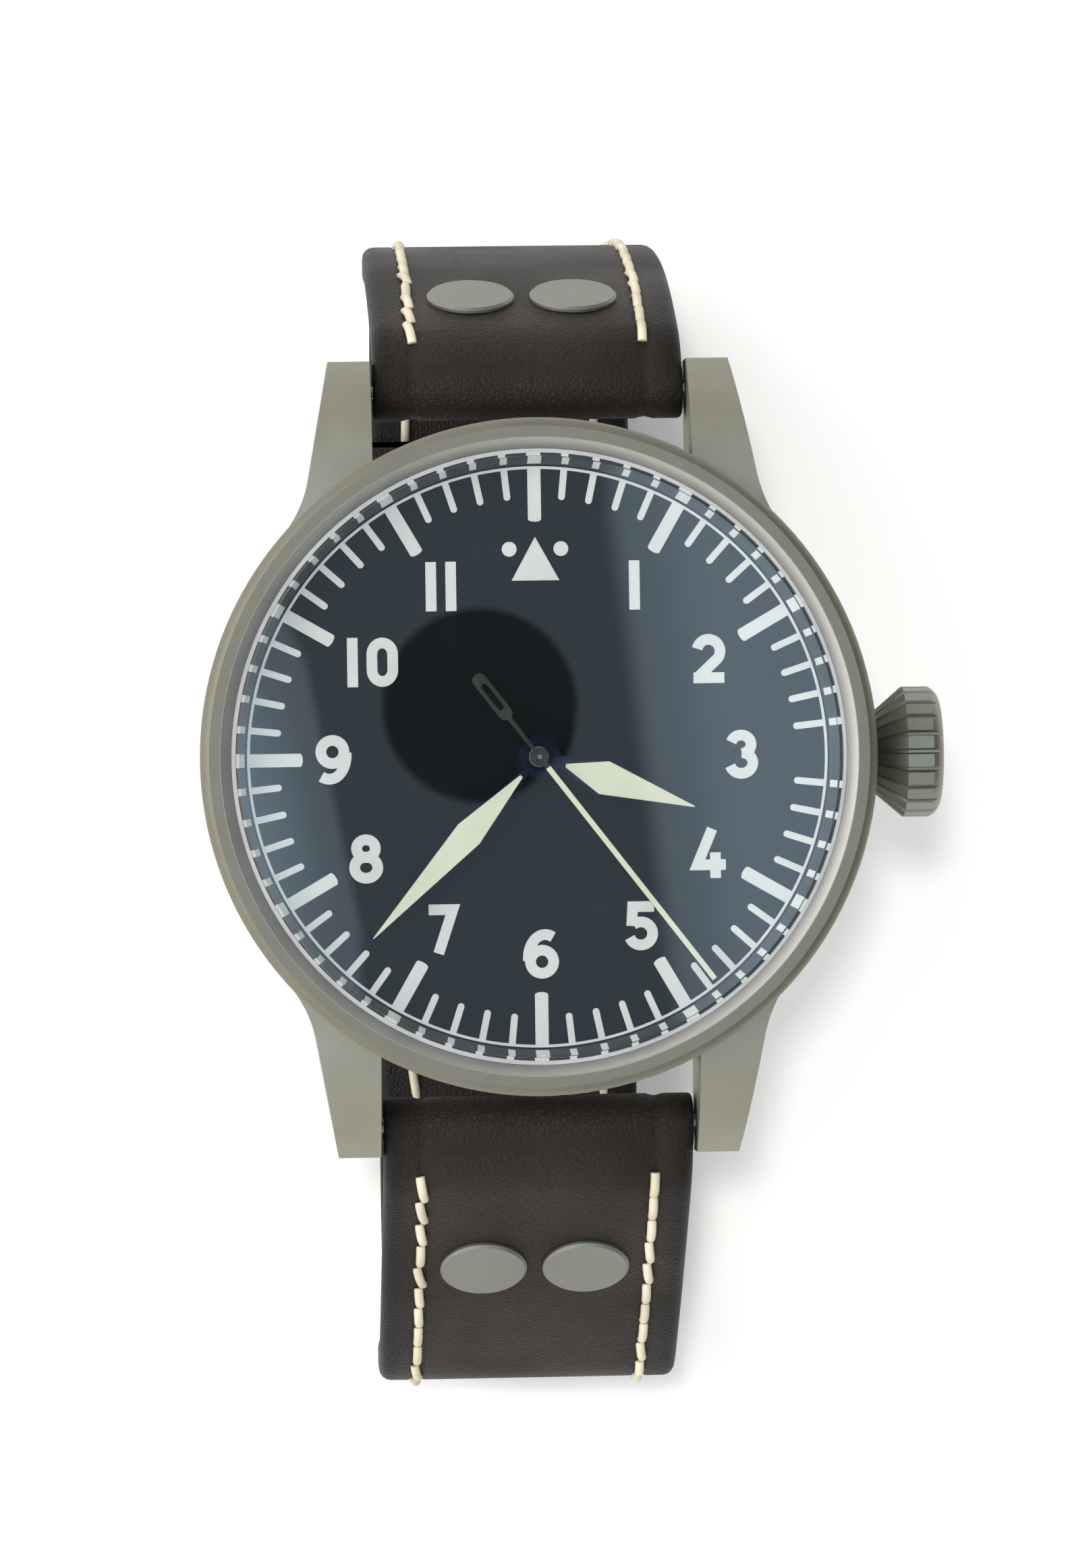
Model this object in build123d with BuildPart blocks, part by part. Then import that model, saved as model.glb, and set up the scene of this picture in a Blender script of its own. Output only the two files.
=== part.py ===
"""Pilot watch on its closed leather strap, in millimetres.

The origin is the centre of the case back's outer face. +Z runs up through the dial,
12 o'clock is at +Y and the crown is at +X. The strap's loop hangs below the case.
"""

import os
from math import acos, cos, degrees, pi, radians, sin, sqrt

from build123d import *

os.makedirs("parts", exist_ok=True)

# Clearances and overruns
seat_gap = 0.02
run_gap = 0.05
soft_gap = 0.1
over = 1.0

# Case band
case_radius = 21.0
case_height = 7.8
back_height = 1.4
case_foot_inset = 2.8
case_belly_height = 3.0
rim_wall = 1.6
dial_ledge_width = 3.2
back_ledge_width = 0.5
dial_ledge_drop = 1.2
case_edge_break = 0.25

case_foot_radius = case_radius - case_foot_inset
case_bottom = back_height
case_top = case_bottom + case_height
dial_bore_radius = case_radius - rim_wall
movement_bore_radius = dial_bore_radius - dial_ledge_width
back_bore_radius = movement_bore_radius - back_ledge_width
dial_back = case_top - dial_ledge_drop

# Lugs
lug_gap = 20.0
lug_tip_width = 2.65
lug_tip_reach = 4.1
lug_root_angle = 48.2
lug_root_gap = 0.46
lug_flare_radius = 8.0
lug_tip_top = 3.5
lug_tip_foot = -0.1
lug_shoulder_inset = 7.0
lug_shoulder_top = 8.4
lug_inner_inset = 11.0
lug_back_inset = 0.4
lug_back_top = 7.0
lug_foot_round = 0.8
lug_arch_height = 0.7
lug_arch_root = 1.6

lug_tip_y = case_radius + lug_tip_reach
lug_root_x = (case_radius + lug_root_gap) * cos(radians(lug_root_angle))
lug_root_y = (case_radius + lug_root_gap) * sin(radians(lug_root_angle))
lug_shoulder_y = case_radius - lug_shoulder_inset
lug_inner_y = case_radius - lug_inner_inset
lug_back_y = case_radius - lug_back_inset

# Strap bars in the lugs
bar_tip_inset = 1.9
bar_z = 2.0
bar_radius = 0.9
bar_end_gap = 0.3
bar_stem_radius = 0.5
bar_pivot_radius = 0.4
bar_pivot_reach = 0.9
bar_stem_length = 2.0
bar_press_room = 1.2
bar_hole_gap = 0.04

bar_y = lug_tip_y - bar_tip_inset

# Bezel, crystal and dial flange
bezel_height = 2.7
bezel_crown_inset = 0.55
bezel_flat_width = 0.7
bezel_chamfer_drop = 0.55
bezel_crown_round = 1.1
crystal_inset = 0.6
crystal_edge_height = 1.55
crystal_dome_rise = 0.75
crystal_edge_break = 0.2
gasket_wall = 0.26
gasket_height = 0.8
crystal_ledge_thick = 0.4
crystal_ledge_width = 0.1
crystal_seat = 10.5
flange_foot_width = 1.3
flange_top_width = 0.7

bezel_top_radius = case_radius - bezel_crown_inset
bezel_chamfer_outer = bezel_top_radius - bezel_flat_width
crystal_radius = dial_bore_radius - crystal_inset
crystal_ledge_radius = crystal_radius - crystal_ledge_width
flange_foot_radius = dial_bore_radius - flange_foot_width
flange_top_radius = dial_bore_radius - flange_top_width

# Dial and hands
dial_thick = 0.4
dial_foot_radius = 0.35
dial_foot_length = 1.0
dial_foot_circle = 11.9
dial_foot_angles = (120.0, 300.0)
dial_hole_gap = 0.1
hand_thick = 0.2
hour_hand_z = 8.9
minute_hand_z = 9.5
seconds_hand_z = 10.05
hour_hand_reach = 10.7
hour_hand_wide = 1.2
hour_hand_belly = 4.25
minute_hand_reach = 15.7
minute_hand_wide = 1.03
minute_hand_belly = 6.45
hand_waist = 0.28
hand_tip = 0.06
hour_boss_radius = 1.45
minute_boss_radius = 1.3
seconds_boss_radius = 0.6
seconds_reach = 17.6
seconds_half_width = 0.17
tail_arm_reach = 3.2
tail_arm_half_width = 0.13
tail_reach = 6.2
tail_half_width = 0.45
tail_slot_length = 2.0
tail_slot_width = 0.4
hour_hand_angle = 108.5
minute_hand_angle = 223.2
seconds_hand_angle = 142.5

# Case back
back_flange_width = 1.6
back_flange_thick = 1.0
back_boss_inset = 1.5
collar_wall = 1.2
collar_height = 1.6
notch_count = 6
notch_width = 2.2
notch_depth = 0.9
back_gasket_wall = 0.7
back_gasket_height = 0.5
back_gasket_offset = 0.4

back_flange_radius = back_bore_radius + back_flange_width
back_boss_radius = back_bore_radius - back_boss_inset
back_gasket_inner = back_bore_radius + back_gasket_offset

# Movement levels, from the dial down towards the case back
movement_radius = 12.8
plate_thick = 1.4
train_room = 2.0
bridge_thick = 0.7
motion_recess = 0.8
plate_bottom = dial_back - plate_thick
bridge_top = plate_bottom - train_room
bridge_bottom = bridge_top - bridge_thick
motion_floor = dial_back - motion_recess

# Wheel train
train_distance = 4.5
barrel_distance = 6.09
escape_distance = 4.5
fork_distance = 2.9
balance_distance = 2.6
centre_teeth = 80
third_leaves = 10
third_teeth = 75
fourth_leaves = 10
fourth_teeth = 84
escape_leaves = 7
escape_teeth = 20
barrel_teeth = 72
centre_leaves = 12
barrel_direction = 75.0
third_direction = 305.0
escape_direction = 200.0
wheel_thick = 0.14
pinion_height = 0.45
centre_wheel_drop = 0.3
centre_pinion_drop = 0.8
third_wheel_drop = 1.1
third_pinion_drop = 0.5
fourth_pinion_drop = 1.3
fourth_wheel_drop = 1.87
escape_wheel_drop = 1.3
escape_pinion_drop = 1.95
arbor_radius = 0.18
pivot_radius = 0.1
pivot_length = 0.3
pivot_gap = 0.04
shoulder_gap = 0.05
spoke_width = 0.32
rim_width = 0.42
hub_radius = 0.55
centre_tube_radius = 0.38
centre_tube_bore = 0.2
seconds_arbor_radius = 0.15

# Barrel
barrel_drop = 1.65
barrel_wall = 0.3
barrel_floor = 0.15
barrel_arbor_radius = 0.9
barrel_tooth_height = 0.25
mainspring_turns = 7
mainspring_inner = 1.25
mainspring_leaf = 0.16
mainspring_gap = 0.12
ratchet_radius = 3.0
ratchet_teeth = 36
ratchet_thick = 0.25
ratchet_drop = 0.05
click_distance = 4.4
click_radius = 0.5
click_tip_distance = 3.3
click_tip_radius = 0.1
click_direction = 20.0

# Motion work under the dial
motion_distance = 3.12
cannon_leaves = 12
minute_teeth = 36
minute_leaves = 10
hour_teeth = 40
setting_teeth = 18
motion_direction = 20.0
cannon_tube_radius = 0.62
hour_tube_bore = 0.67
hour_tube_radius = 0.95
motion_level = 0.1
hour_wheel_level = 0.4
motion_stud_radius = 0.25
recess_margin = 0.27
cannon_pinion_height = 0.2

# Escapement and balance
escape_radius = 2.2
escape_tooth_depth = 0.55
fork_arm_width = 0.35
fork_spread = 22.5
fork_lever_half_width = 0.17
fork_horn_half_width = 0.42
pallet_length = 0.5
pallet_width = 0.22
pallet_gap = 0.06
pallet_bridge_thick = 0.15
pallet_bridge_width = 1.0
pallet_foot_x = -7.4
pallet_foot_y = -3.4
balance_radius = 4.4
balance_rim = 0.55
balance_thick = 0.3
balance_drop = 2.5
collet_gap = 0.06
balance_hub = 0.7
roller_radius = 0.95
roller_thick = 0.2
roller_drop = 1.6
impulse_radius = 0.12
impulse_orbit = 0.7
impulse_height = 0.35
balance_room = 0.3
cock_thick = 0.5
cock_drop = 0.1
cock_width = 3.0
cock_foot_radius = 1.2
cock_foot_x = 0.6
cock_foot_y = -11.3
hairspring_turns = 5
hairspring_inner = 0.75
hairspring_outer = 2.6
hairspring_leaf = 0.12
hairspring_height = 0.15
hairspring_gap = 0.06
hairspring_stud_radius = 0.3
escape_tooth_shares = ((-0.38, 0), (-0.03, 1), (0.03, 1), (0.12, 0))

# Bridges, screws, movement ring and clamps
bridge_split_y = 1.2
bridge_split_gap = 0.2
bridge_rim_gap = 0.3
pillar_radius = 0.9
pillar_circle = 11.4
pillar_angles = (30.0, 150.0, 190.0, 338.0)
screw_head_radius = 0.55
screw_head_height = 0.3
screw_shank_radius = 0.3
screw_length = 1.5
screw_slot_width = 0.12
screw_slot_depth = 0.12
clamp_angles = (60.0, 240.0)
clamp_length = 3.2
clamp_width = 2.2
clamp_thick = 0.2
clamp_inset = 1.0

# Rotor
rotor_side_room = 2.2
rotor_rim_width = 2.0
rotor_rim_height = 0.75
rotor_plate_thick = 0.25
rotor_room = 0.2
rotor_hub_radius = 2.4
rotor_bore = 1.0
rotor_direction = 250.0
rotor_window_radius = 9.4
rotor_window_inner = 4.0
rotor_rib_width = 1.6
rotor_hub_height = 0.45
bearing_flange_radius = 1.6
bearing_flange_thick = 0.2

rotor_radius = back_bore_radius - collar_wall - rotor_side_room

# Winding work and crown
stem_drop = 1.9
stem_radius = 0.5
stem_square = 0.75
stem_start = 8.3
stem_square_end = 10.4
sliding_pinion_start = 8.9
sliding_pinion_length = 1.3
sliding_pinion_radius = 1.05
sliding_groove_depth = 0.25
sliding_groove_length = 0.4
winding_pinion_length = 1.1
winding_pinion_radius = 1.0
winding_teeth = 12
face_gap = 0.06
tube_radius = 1.1
tube_bore = 0.75
tube_reach = 1.5
crown_gap = 0.25
crown_neck_radius = 2.55
crown_radius = 4.1
crown_cone_length = 1.8
crown_grip_length = 1.5
crown_end_length = 0.8
crown_end_radius = 2.9
crown_flutes = 22
crown_flute_depth = 0.22
crown_bore_gap = 0.25
crown_bore_depth = 2.2
crown_gasket_height = 0.5
crown_gasket_start = 0.65
stem_reach = 3.0
crown_flute_shares = ((-0.34, 0), (0.34, 0), (0.43, 1), (0.57, 1))

stem_end = case_radius + stem_reach

# Strap
strap_thick = 2.6
strap_side_gap = 0.2
strap_taper = 1.6
fold_radius = 1.8
fold_hole_gap = 0.05
loop_depth = 45.0
front_overhang_length = 11.6
rear_overhang_length = 18.5
front_start_angle = 12.0
front_bend_radius = 6.0
front_bend_end = 62.0
rear_start_angle = 8.0
rear_bend_radius = 7.0
rear_bend_end = 50.0
rear_slope_end = 56.0
rear_turn_radius = 6.0
rear_corner = 10.5
tail_step = 1.5
tail_step_radius = 10.0
tail_wrap_angle = 45.0
tail_start_gap = 1.5
washer_radius = 1.8
washer_thick = 0.4
rivet_radius = 2.8
rivet_head = 0.34
rivet_edge = 0.16
rivet_shank_radius = 1.0
rivet_spacing = 6.6
front_rivet_angle = 66.0
rear_rivet_angle = 52.2

strap_top_width = lug_gap - 2 * strap_side_gap
strap_low_width = strap_top_width - strap_taper
loop_bottom = bar_z - loop_depth
front_extreme = bar_y + front_overhang_length
rear_extreme = bar_y + rear_overhang_length

# Keepers and buckle
keeper_wall = 1.0
keeper_length = 4.0
keeper_round = 1.2
keeper_side_gap = 0.2
fixed_keeper_inset = 8.2
free_keeper_inset = 3.0
buckle_inset = 13.2
buckle_bar_radius = 0.65
buckle_stem_radius = 0.42
buckle_pivot_radius = 0.3
buckle_arm_width = 1.3
buckle_arm_round = 1.2
buckle_front_radius = 0.8
buckle_length = 10.6
buckle_side_gap = 0.25
buckle_bar_gap = 0.15
keeper_inner_round = 0.3
tongue_width = 1.8
tongue_thick = 0.7
tongue_slot_gap = 0.25
tongue_eye_radius = 1.2
tongue_bend_length = 8.0
tongue_length = 12.0
tail_hole_start_length = 6.8
tail_hole_end_length = 0.9

fixed_keeper_y = bar_y - fixed_keeper_inset
free_keeper_y = bar_y - free_keeper_inset
buckle_y = bar_y - buckle_inset
buckle_front_y = buckle_y - buckle_length
tongue_bend_y = buckle_y - tongue_bend_length
tongue_tip_y = buckle_y - tongue_length
tail_hole_start = buckle_y - tail_hole_start_length
tail_hole_end = buckle_y - tail_hole_end_length

# Shares of a pitch or of a module that shape every tooth
tooth_tip_share = 0.1
tooth_root_share = 0.22
addendum_share = 0.9
dedendum_share = 1.25

UP = (Align.CENTER, Align.CENTER, Align.MIN)
DOWN = (Align.CENTER, Align.CENTER, Align.MAX)


def write(builder, node):
    """Label a finished piece and write it under its own name."""
    builder.part.label = node
    export_step(builder.part, f"parts/{node}.step")


def polar(distance, direction):
    """A point at a distance from the dial's axis, its direction in degrees."""
    return distance * cos(radians(direction)), distance * sin(radians(direction))


def tooth_points(pitch_radius, teeth, phase):
    """The corners of a toothed outline. One tooth is centred on the phase, in degrees."""
    module = 2 * pitch_radius / teeth
    tip = pitch_radius + addendum_share * module
    root = pitch_radius - dedendum_share * module
    corners = (
        (root, -tooth_root_share),
        (tip, -tooth_tip_share),
        (tip, tooth_tip_share),
        (root, tooth_root_share),
    )
    points = []
    for tooth in range(teeth):
        for radius, share in corners:
            angle = radians(phase) + 2 * pi * (tooth + share) / teeth
            points.append((radius * cos(angle), radius * sin(angle)))
    return points


def toothed_face(place, z, pitch_radius, teeth, phase):
    """A toothed disc's face at a height, ready to be extruded."""
    with BuildSketch(Plane(origin=(*place, z))) as face:
        Polygon(*tooth_points(pitch_radius, teeth, phase), align=None)
    return face.sketch


def window_face(place, z, inner, outer, spokes, width):
    """The openings between a wheel's spokes."""
    with BuildSketch(Plane(origin=(*place, z))) as face:
        Circle(outer)
        Circle(inner, mode=Mode.SUBTRACT)
        with PolarLocations(outer / 2, spokes):
            Rectangle(outer, width, mode=Mode.SUBTRACT)
    return face.sketch


def spiral_face(place, z, inner, outer, turns, leaf):
    """A flat spiral leaf that grows steadily from its inner to its outer radius."""
    steps = turns * 12
    inside = []
    outside = []
    for step in range(steps + 1):
        angle = 2 * pi * step / 12
        radius = inner + (outer - inner) * step / steps
        inside.append((radius * cos(angle), radius * sin(angle)))
        outside.append(((radius + leaf) * cos(angle), (radius + leaf) * sin(angle)))
    with BuildSketch(Plane(origin=(*place, z))) as face:
        Polygon(*inside, *reversed(outside), align=None)
    return face.sketch


def mesh_phase(direction, teeth):
    """The phase that puts a tooth gap on the line towards the driving wheel."""
    return direction + 180 + 180 / teeth


# One lug, cut from its plan and its side view, with the blind hole for the strap bar
lug_tip_x = lug_gap / 2 + lug_tip_width
lug_slope = (lug_root_x - lug_tip_x) / (lug_tip_y - lug_root_y)
with BuildPart() as lug:
    with BuildSketch(Plane.XY.offset(lug_tip_foot)) as lug_plan:
        Circle(case_radius)
        Polygon(
            (lug_gap / 2, lug_inner_y),
            (lug_tip_x + lug_slope * (lug_tip_y - lug_inner_y), lug_inner_y),
            (lug_tip_x, lug_tip_y),
            (lug_gap / 2, lug_tip_y),
            align=None,
        )
        fillet(lug_plan.vertices().sort_by_distance((lug_root_x, lug_root_y))[0], lug_flare_radius)
        Circle(dial_bore_radius, mode=Mode.SUBTRACT)
        with Locations((lug_gap / 2, lug_inner_y)):
            Rectangle(case_radius, case_radius, align=(Align.MIN, Align.MIN), mode=Mode.INTERSECT)
    extrude(amount=case_top)
    with BuildSketch(Plane.YZ) as lug_side:
        with BuildLine():
            Polyline(
                (lug_tip_y, lug_tip_top),
                (lug_tip_y, lug_tip_foot + lug_foot_round),
                (lug_tip_y - lug_foot_round, lug_tip_foot),
            )
            ThreePointArc(
                (lug_tip_y - lug_foot_round, lug_tip_foot),
                ((lug_tip_y + lug_shoulder_y) / 2, lug_arch_height),
                (lug_shoulder_y, lug_arch_root),
            )
            Polyline(
                (lug_shoulder_y, lug_arch_root),
                (lug_inner_y, lug_arch_root),
                (lug_inner_y, lug_shoulder_top),
                (lug_shoulder_y, lug_shoulder_top),
            )
            ThreePointArc(
                (lug_shoulder_y, lug_shoulder_top),
                (lug_back_y, lug_back_top),
                (lug_tip_y, lug_tip_top),
            )
        make_face()
    extrude(amount=2 * case_radius, mode=Mode.INTERSECT)
    with BuildSketch(Plane.YZ.offset(lug_gap / 2 - over)):
        with Locations((bar_y, bar_z)):
            Circle(bar_pivot_radius + bar_hole_gap)
    extrude(amount=over + bar_pivot_reach + bar_end_gap, mode=Mode.SUBTRACT)

# Case band: a turned ring with a stepped bore, four lugs and the hole for the crown tube
stem_z = dial_back - stem_drop
with BuildPart() as case_body:
    with BuildSketch(Plane.XZ):
        with BuildLine():
            Line((back_bore_radius, case_bottom), (case_foot_radius, case_bottom))
            ThreePointArc(
                (case_foot_radius, case_bottom),
                (
                    case_foot_radius + (case_radius - case_foot_radius) * sin(pi / 4),
                    case_bottom + case_belly_height * (1 - cos(pi / 4)),
                ),
                (case_radius, case_bottom + case_belly_height),
            )
            Polyline(
                (case_radius, case_bottom + case_belly_height),
                (case_radius, case_top - case_edge_break),
                (case_radius - case_edge_break, case_top),
                (dial_bore_radius, case_top),
                (dial_bore_radius, dial_back),
                (movement_bore_radius, dial_back),
                (movement_bore_radius, bridge_bottom),
                (back_bore_radius, bridge_bottom),
                (back_bore_radius, case_bottom),
            )
        make_face()
    revolve(axis=Axis.Z)
    with Locations((0, 0, case_bottom)):
        Cylinder(back_gasket_inner + back_gasket_wall, back_gasket_height, align=UP, mode=Mode.SUBTRACT)
    add(lug.part)
    add(mirror(lug.part, about=Plane.YZ, mode=Mode.PRIVATE))
    add(mirror(lug.part, about=Plane.XZ, mode=Mode.PRIVATE))
    add(mirror(mirror(lug.part, about=Plane.YZ, mode=Mode.PRIVATE), about=Plane.XZ, mode=Mode.PRIVATE))
    with BuildSketch(Plane.YZ.offset(back_bore_radius)):
        with Locations((0, stem_z)):
            Circle(tube_radius + seat_gap)
    extrude(amount=case_radius, mode=Mode.SUBTRACT)
write(case_body, "case_body")

# Bezel: presses on the band's rim and holds the crystal on a ledge
bezel_top = case_top + bezel_height
crystal_bore = crystal_radius + gasket_wall + 2 * seat_gap
with BuildPart() as bezel:
    with BuildSketch(Plane.XZ):
        with BuildLine():
            Polyline(
                (dial_bore_radius, case_top),
                (case_radius - case_edge_break, case_top),
                (case_radius, case_top + case_edge_break),
                (case_radius, bezel_top - bezel_crown_round),
            )
            ThreePointArc(
                (case_radius, bezel_top - bezel_crown_round),
                (
                    bezel_top_radius + (case_radius - bezel_top_radius) * cos(pi / 4),
                    bezel_top - bezel_crown_round * (1 - sin(pi / 4)),
                ),
                (bezel_top_radius, bezel_top),
            )
            Polyline(
                (bezel_top_radius, bezel_top),
                (bezel_chamfer_outer, bezel_top),
                (crystal_bore, bezel_top - bezel_chamfer_drop),
                (crystal_bore, crystal_seat),
                (crystal_ledge_radius, crystal_seat),
                (crystal_ledge_radius, crystal_seat - crystal_ledge_thick),
                (dial_bore_radius, crystal_seat - crystal_ledge_thick),
                (dial_bore_radius, case_top),
            )
        make_face()
    revolve(axis=Axis.Z)
write(bezel, "bezel")

# Crystal: a disc with a low dome
crystal_rim = crystal_seat + crystal_edge_height
crystal_top = crystal_rim + crystal_dome_rise
dome_chord = crystal_radius - crystal_edge_break
dome_radius = (dome_chord**2 + crystal_dome_rise**2) / (2 * crystal_dome_rise)
with BuildPart() as crystal:
    with BuildSketch(Plane.XZ):
        with BuildLine():
            Polyline(
                (0, crystal_top),
                (0, crystal_seat),
                (crystal_radius - crystal_edge_break, crystal_seat),
                (crystal_radius, crystal_seat + crystal_edge_break),
                (crystal_radius, crystal_rim - crystal_edge_break),
                (dome_chord, crystal_rim),
            )
            ThreePointArc(
                (dome_chord, crystal_rim),
                (dome_chord / 2, crystal_top - dome_radius + sqrt(dome_radius**2 - (dome_chord / 2) ** 2)),
                (0, crystal_top),
            )
        make_face()
    revolve(axis=Axis.Z)
write(crystal, "crystal")

with BuildPart() as crystal_gasket:
    with Locations((0, 0, crystal_seat)):
        Cylinder(crystal_radius + seat_gap + gasket_wall, gasket_height, align=UP)
        Cylinder(crystal_radius + seat_gap, gasket_height, align=UP, mode=Mode.SUBTRACT)
write(crystal_gasket, "crystal_gasket")

# Dial flange: the sloping ring between the dial and the crystal's ledge
dial_top = dial_back + dial_thick
flange_top = crystal_seat - crystal_ledge_thick
with BuildPart() as dial_flange:
    with BuildSketch(Plane.XZ):
        Polygon(
            (flange_foot_radius, dial_top),
            (dial_bore_radius - seat_gap, dial_top),
            (dial_bore_radius - seat_gap, flange_top),
            (flange_top_radius, flange_top),
            align=None,
        )
    revolve(axis=Axis.Z)
write(dial_flange, "dial_flange")

with BuildPart() as dial:
    with Locations((0, 0, dial_back)):
        Cylinder(dial_bore_radius - seat_gap, dial_thick, align=UP)
    for angle in dial_foot_angles:
        with Locations((*polar(dial_foot_circle, angle), dial_back)):
            Cylinder(dial_foot_radius, dial_foot_length, align=DOWN)
    with Locations((0, 0, dial_back)):
        Cylinder(hour_tube_radius + dial_hole_gap, dial_thick, align=UP, mode=Mode.SUBTRACT)
write(dial, "dial")


def hand_plane(height, clock_angle):
    """A sketch plane whose X runs along a hand that points at an angle clockwise from 12."""
    angle = radians(90 - clock_angle)
    return Plane(origin=(0, 0, height), x_dir=(cos(angle), sin(angle), 0), z_dir=(0, 0, 1))


# Hour and minute hands: a boss on its tube and a long lozenge blade
lozenge_hands = (
    ("hour_hand", hour_hand_z, hour_hand_angle, hour_boss_radius, hour_tube_radius,
     hour_hand_reach, hour_hand_belly, hour_hand_wide),
    ("minute_hand", minute_hand_z, minute_hand_angle, minute_boss_radius, cannon_tube_radius,
     minute_hand_reach, minute_hand_belly, minute_hand_wide),
)
for node, height, clock_angle, boss, tube, reach, belly, wide in lozenge_hands:
    with BuildPart() as hand:
        with BuildSketch(hand_plane(height, clock_angle)):
            Circle(boss)
            Polygon(
                (0, hand_waist),
                (boss, hand_waist),
                (belly, wide),
                (reach, hand_tip),
                (reach, -hand_tip),
                (belly, -wide),
                (boss, -hand_waist),
                (0, -hand_waist),
                align=None,
            )
            Circle(tube + seat_gap, mode=Mode.SUBTRACT)
        extrude(amount=hand_thick)
    write(hand, node)

# Seconds hand: a needle, and a tail that widens to a slotted paddle
with BuildPart() as seconds_hand:
    with BuildSketch(hand_plane(seconds_hand_z, seconds_hand_angle)):
        Circle(seconds_boss_radius)
        Rectangle(seconds_reach, 2 * seconds_half_width, align=(Align.MIN, Align.CENTER))
        Rectangle(tail_arm_reach, 2 * tail_arm_half_width, align=(Align.MAX, Align.CENTER))
        with Locations((-(tail_arm_reach + tail_reach) / 2, 0)):
            SlotOverall(tail_reach - tail_arm_reach + tail_half_width, 2 * tail_half_width)
            SlotOverall(tail_slot_length, tail_slot_width, mode=Mode.SUBTRACT)
        Circle(seconds_arbor_radius + seat_gap, mode=Mode.SUBTRACT)
    extrude(amount=hand_thick)
write(seconds_hand, "seconds_hand")

# Case back: a flange with wrench notches, a raised boss and a threaded collar
with BuildPart() as case_back:
    with Locations((0, 0, back_height)):
        Cylinder(back_flange_radius, back_flange_thick, align=DOWN)
        Cylinder(back_boss_radius, back_height, align=DOWN)
        Cylinder(back_bore_radius - seat_gap, collar_height, align=UP)
        Cylinder(back_bore_radius - collar_wall, collar_height, align=UP, mode=Mode.SUBTRACT)
    with BuildSketch(Plane.XY):
        with PolarLocations(back_flange_radius - notch_depth, notch_count):
            Rectangle(2 * notch_depth, notch_width, align=(Align.MIN, Align.CENTER))
    extrude(amount=back_height, mode=Mode.SUBTRACT)
write(case_back, "case_back")

with BuildPart() as case_back_gasket:
    with Locations((0, 0, back_height)):
        Cylinder(back_gasket_inner + back_gasket_wall - seat_gap, back_gasket_height - seat_gap, align=UP)
        Cylinder(back_gasket_inner, back_gasket_height, align=UP, mode=Mode.SUBTRACT)
write(case_back_gasket, "case_back_gasket")

# Places and pitch radii of the wheel train
centre = (0, 0)
barrel_place = polar(barrel_distance, barrel_direction)
third_place = polar(train_distance, third_direction)
escape_place = polar(escape_distance, escape_direction)
fork_place = (escape_place[0], escape_place[1] - fork_distance)
balance_place = (escape_place[0], fork_place[1] - balance_distance)
barrel_pitch = barrel_distance * barrel_teeth / (barrel_teeth + centre_leaves)
centre_pinion_pitch = barrel_distance - barrel_pitch
centre_pitch = train_distance * centre_teeth / (centre_teeth + third_leaves)
third_pinion_pitch = train_distance - centre_pitch
third_pitch = train_distance * third_teeth / (third_teeth + fourth_leaves)
fourth_pinion_pitch = train_distance - third_pitch
fourth_pitch = escape_distance * fourth_teeth / (fourth_teeth + escape_leaves)
escape_pinion_pitch = escape_distance - fourth_pitch
cannon_pitch = motion_distance * cannon_leaves / (cannon_leaves + minute_teeth)
minute_pitch = motion_distance - cannon_pitch
minute_pinion_pitch = motion_distance * minute_leaves / (minute_leaves + hour_teeth)
hour_pitch = motion_distance - minute_pinion_pitch
setting_pitch = minute_pitch * setting_teeth / minute_teeth
minute_place = polar(motion_distance, motion_direction)
setting_place = (minute_place[0] + minute_pitch + setting_pitch, minute_place[1])
barrel_bottom = plate_bottom - barrel_drop
barrel_top = plate_bottom - centre_wheel_drop - barrel_floor + run_gap
pallet_bridge_base = bridge_top + shoulder_gap
pallet_bridge_top = pallet_bridge_base + pallet_bridge_thick
cock_top = bridge_bottom - cock_drop
cock_bottom = cock_top - cock_thick

# Main plate: bores for the arbors, a recess for the motion work and a slot for the stem
with BuildPart() as main_plate:
    with Locations((0, 0, plate_bottom)):
        Cylinder(movement_radius, plate_thick, align=UP)
    for place, radius in (
        (centre, hour_pitch + recess_margin),
        (minute_place, minute_pitch + recess_margin),
        (setting_place, setting_pitch + recess_margin),
    ):
        with Locations((*place, motion_floor)):
            Cylinder(radius, motion_recess, align=UP, mode=Mode.SUBTRACT)
    for place in (minute_place, setting_place):
        with Locations((*place, motion_floor)):
            Cylinder(motion_stud_radius, motion_recess - run_gap, align=UP)
    with Locations((0, 0, plate_bottom)):
        Cylinder(centre_tube_radius + run_gap, plate_thick, align=UP, mode=Mode.SUBTRACT)
    for place in (third_place, escape_place, fork_place, balance_place):
        with Locations((*place, plate_bottom)):
            Cylinder(pivot_radius + pivot_gap, pivot_length + pivot_gap, align=UP, mode=Mode.SUBTRACT)
    with Locations((*barrel_place, plate_bottom)):
        Cylinder(bar_stem_radius + run_gap, pivot_length + pivot_gap, align=UP, mode=Mode.SUBTRACT)
    for angle in dial_foot_angles:
        with Locations((*polar(dial_foot_circle, angle), dial_back)):
            Cylinder(
                dial_foot_radius + seat_gap, dial_foot_length + seat_gap, align=DOWN, mode=Mode.SUBTRACT
            )
    with Locations((stem_start - soft_gap, 0, stem_z)):
        Box(
            movement_radius,
            2 * (winding_pinion_radius + recess_margin),
            2 * (winding_pinion_radius + recess_margin),
            align=(Align.MIN, Align.CENTER, Align.CENTER),
            mode=Mode.SUBTRACT,
        )
write(main_plate, "main_plate")

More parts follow.
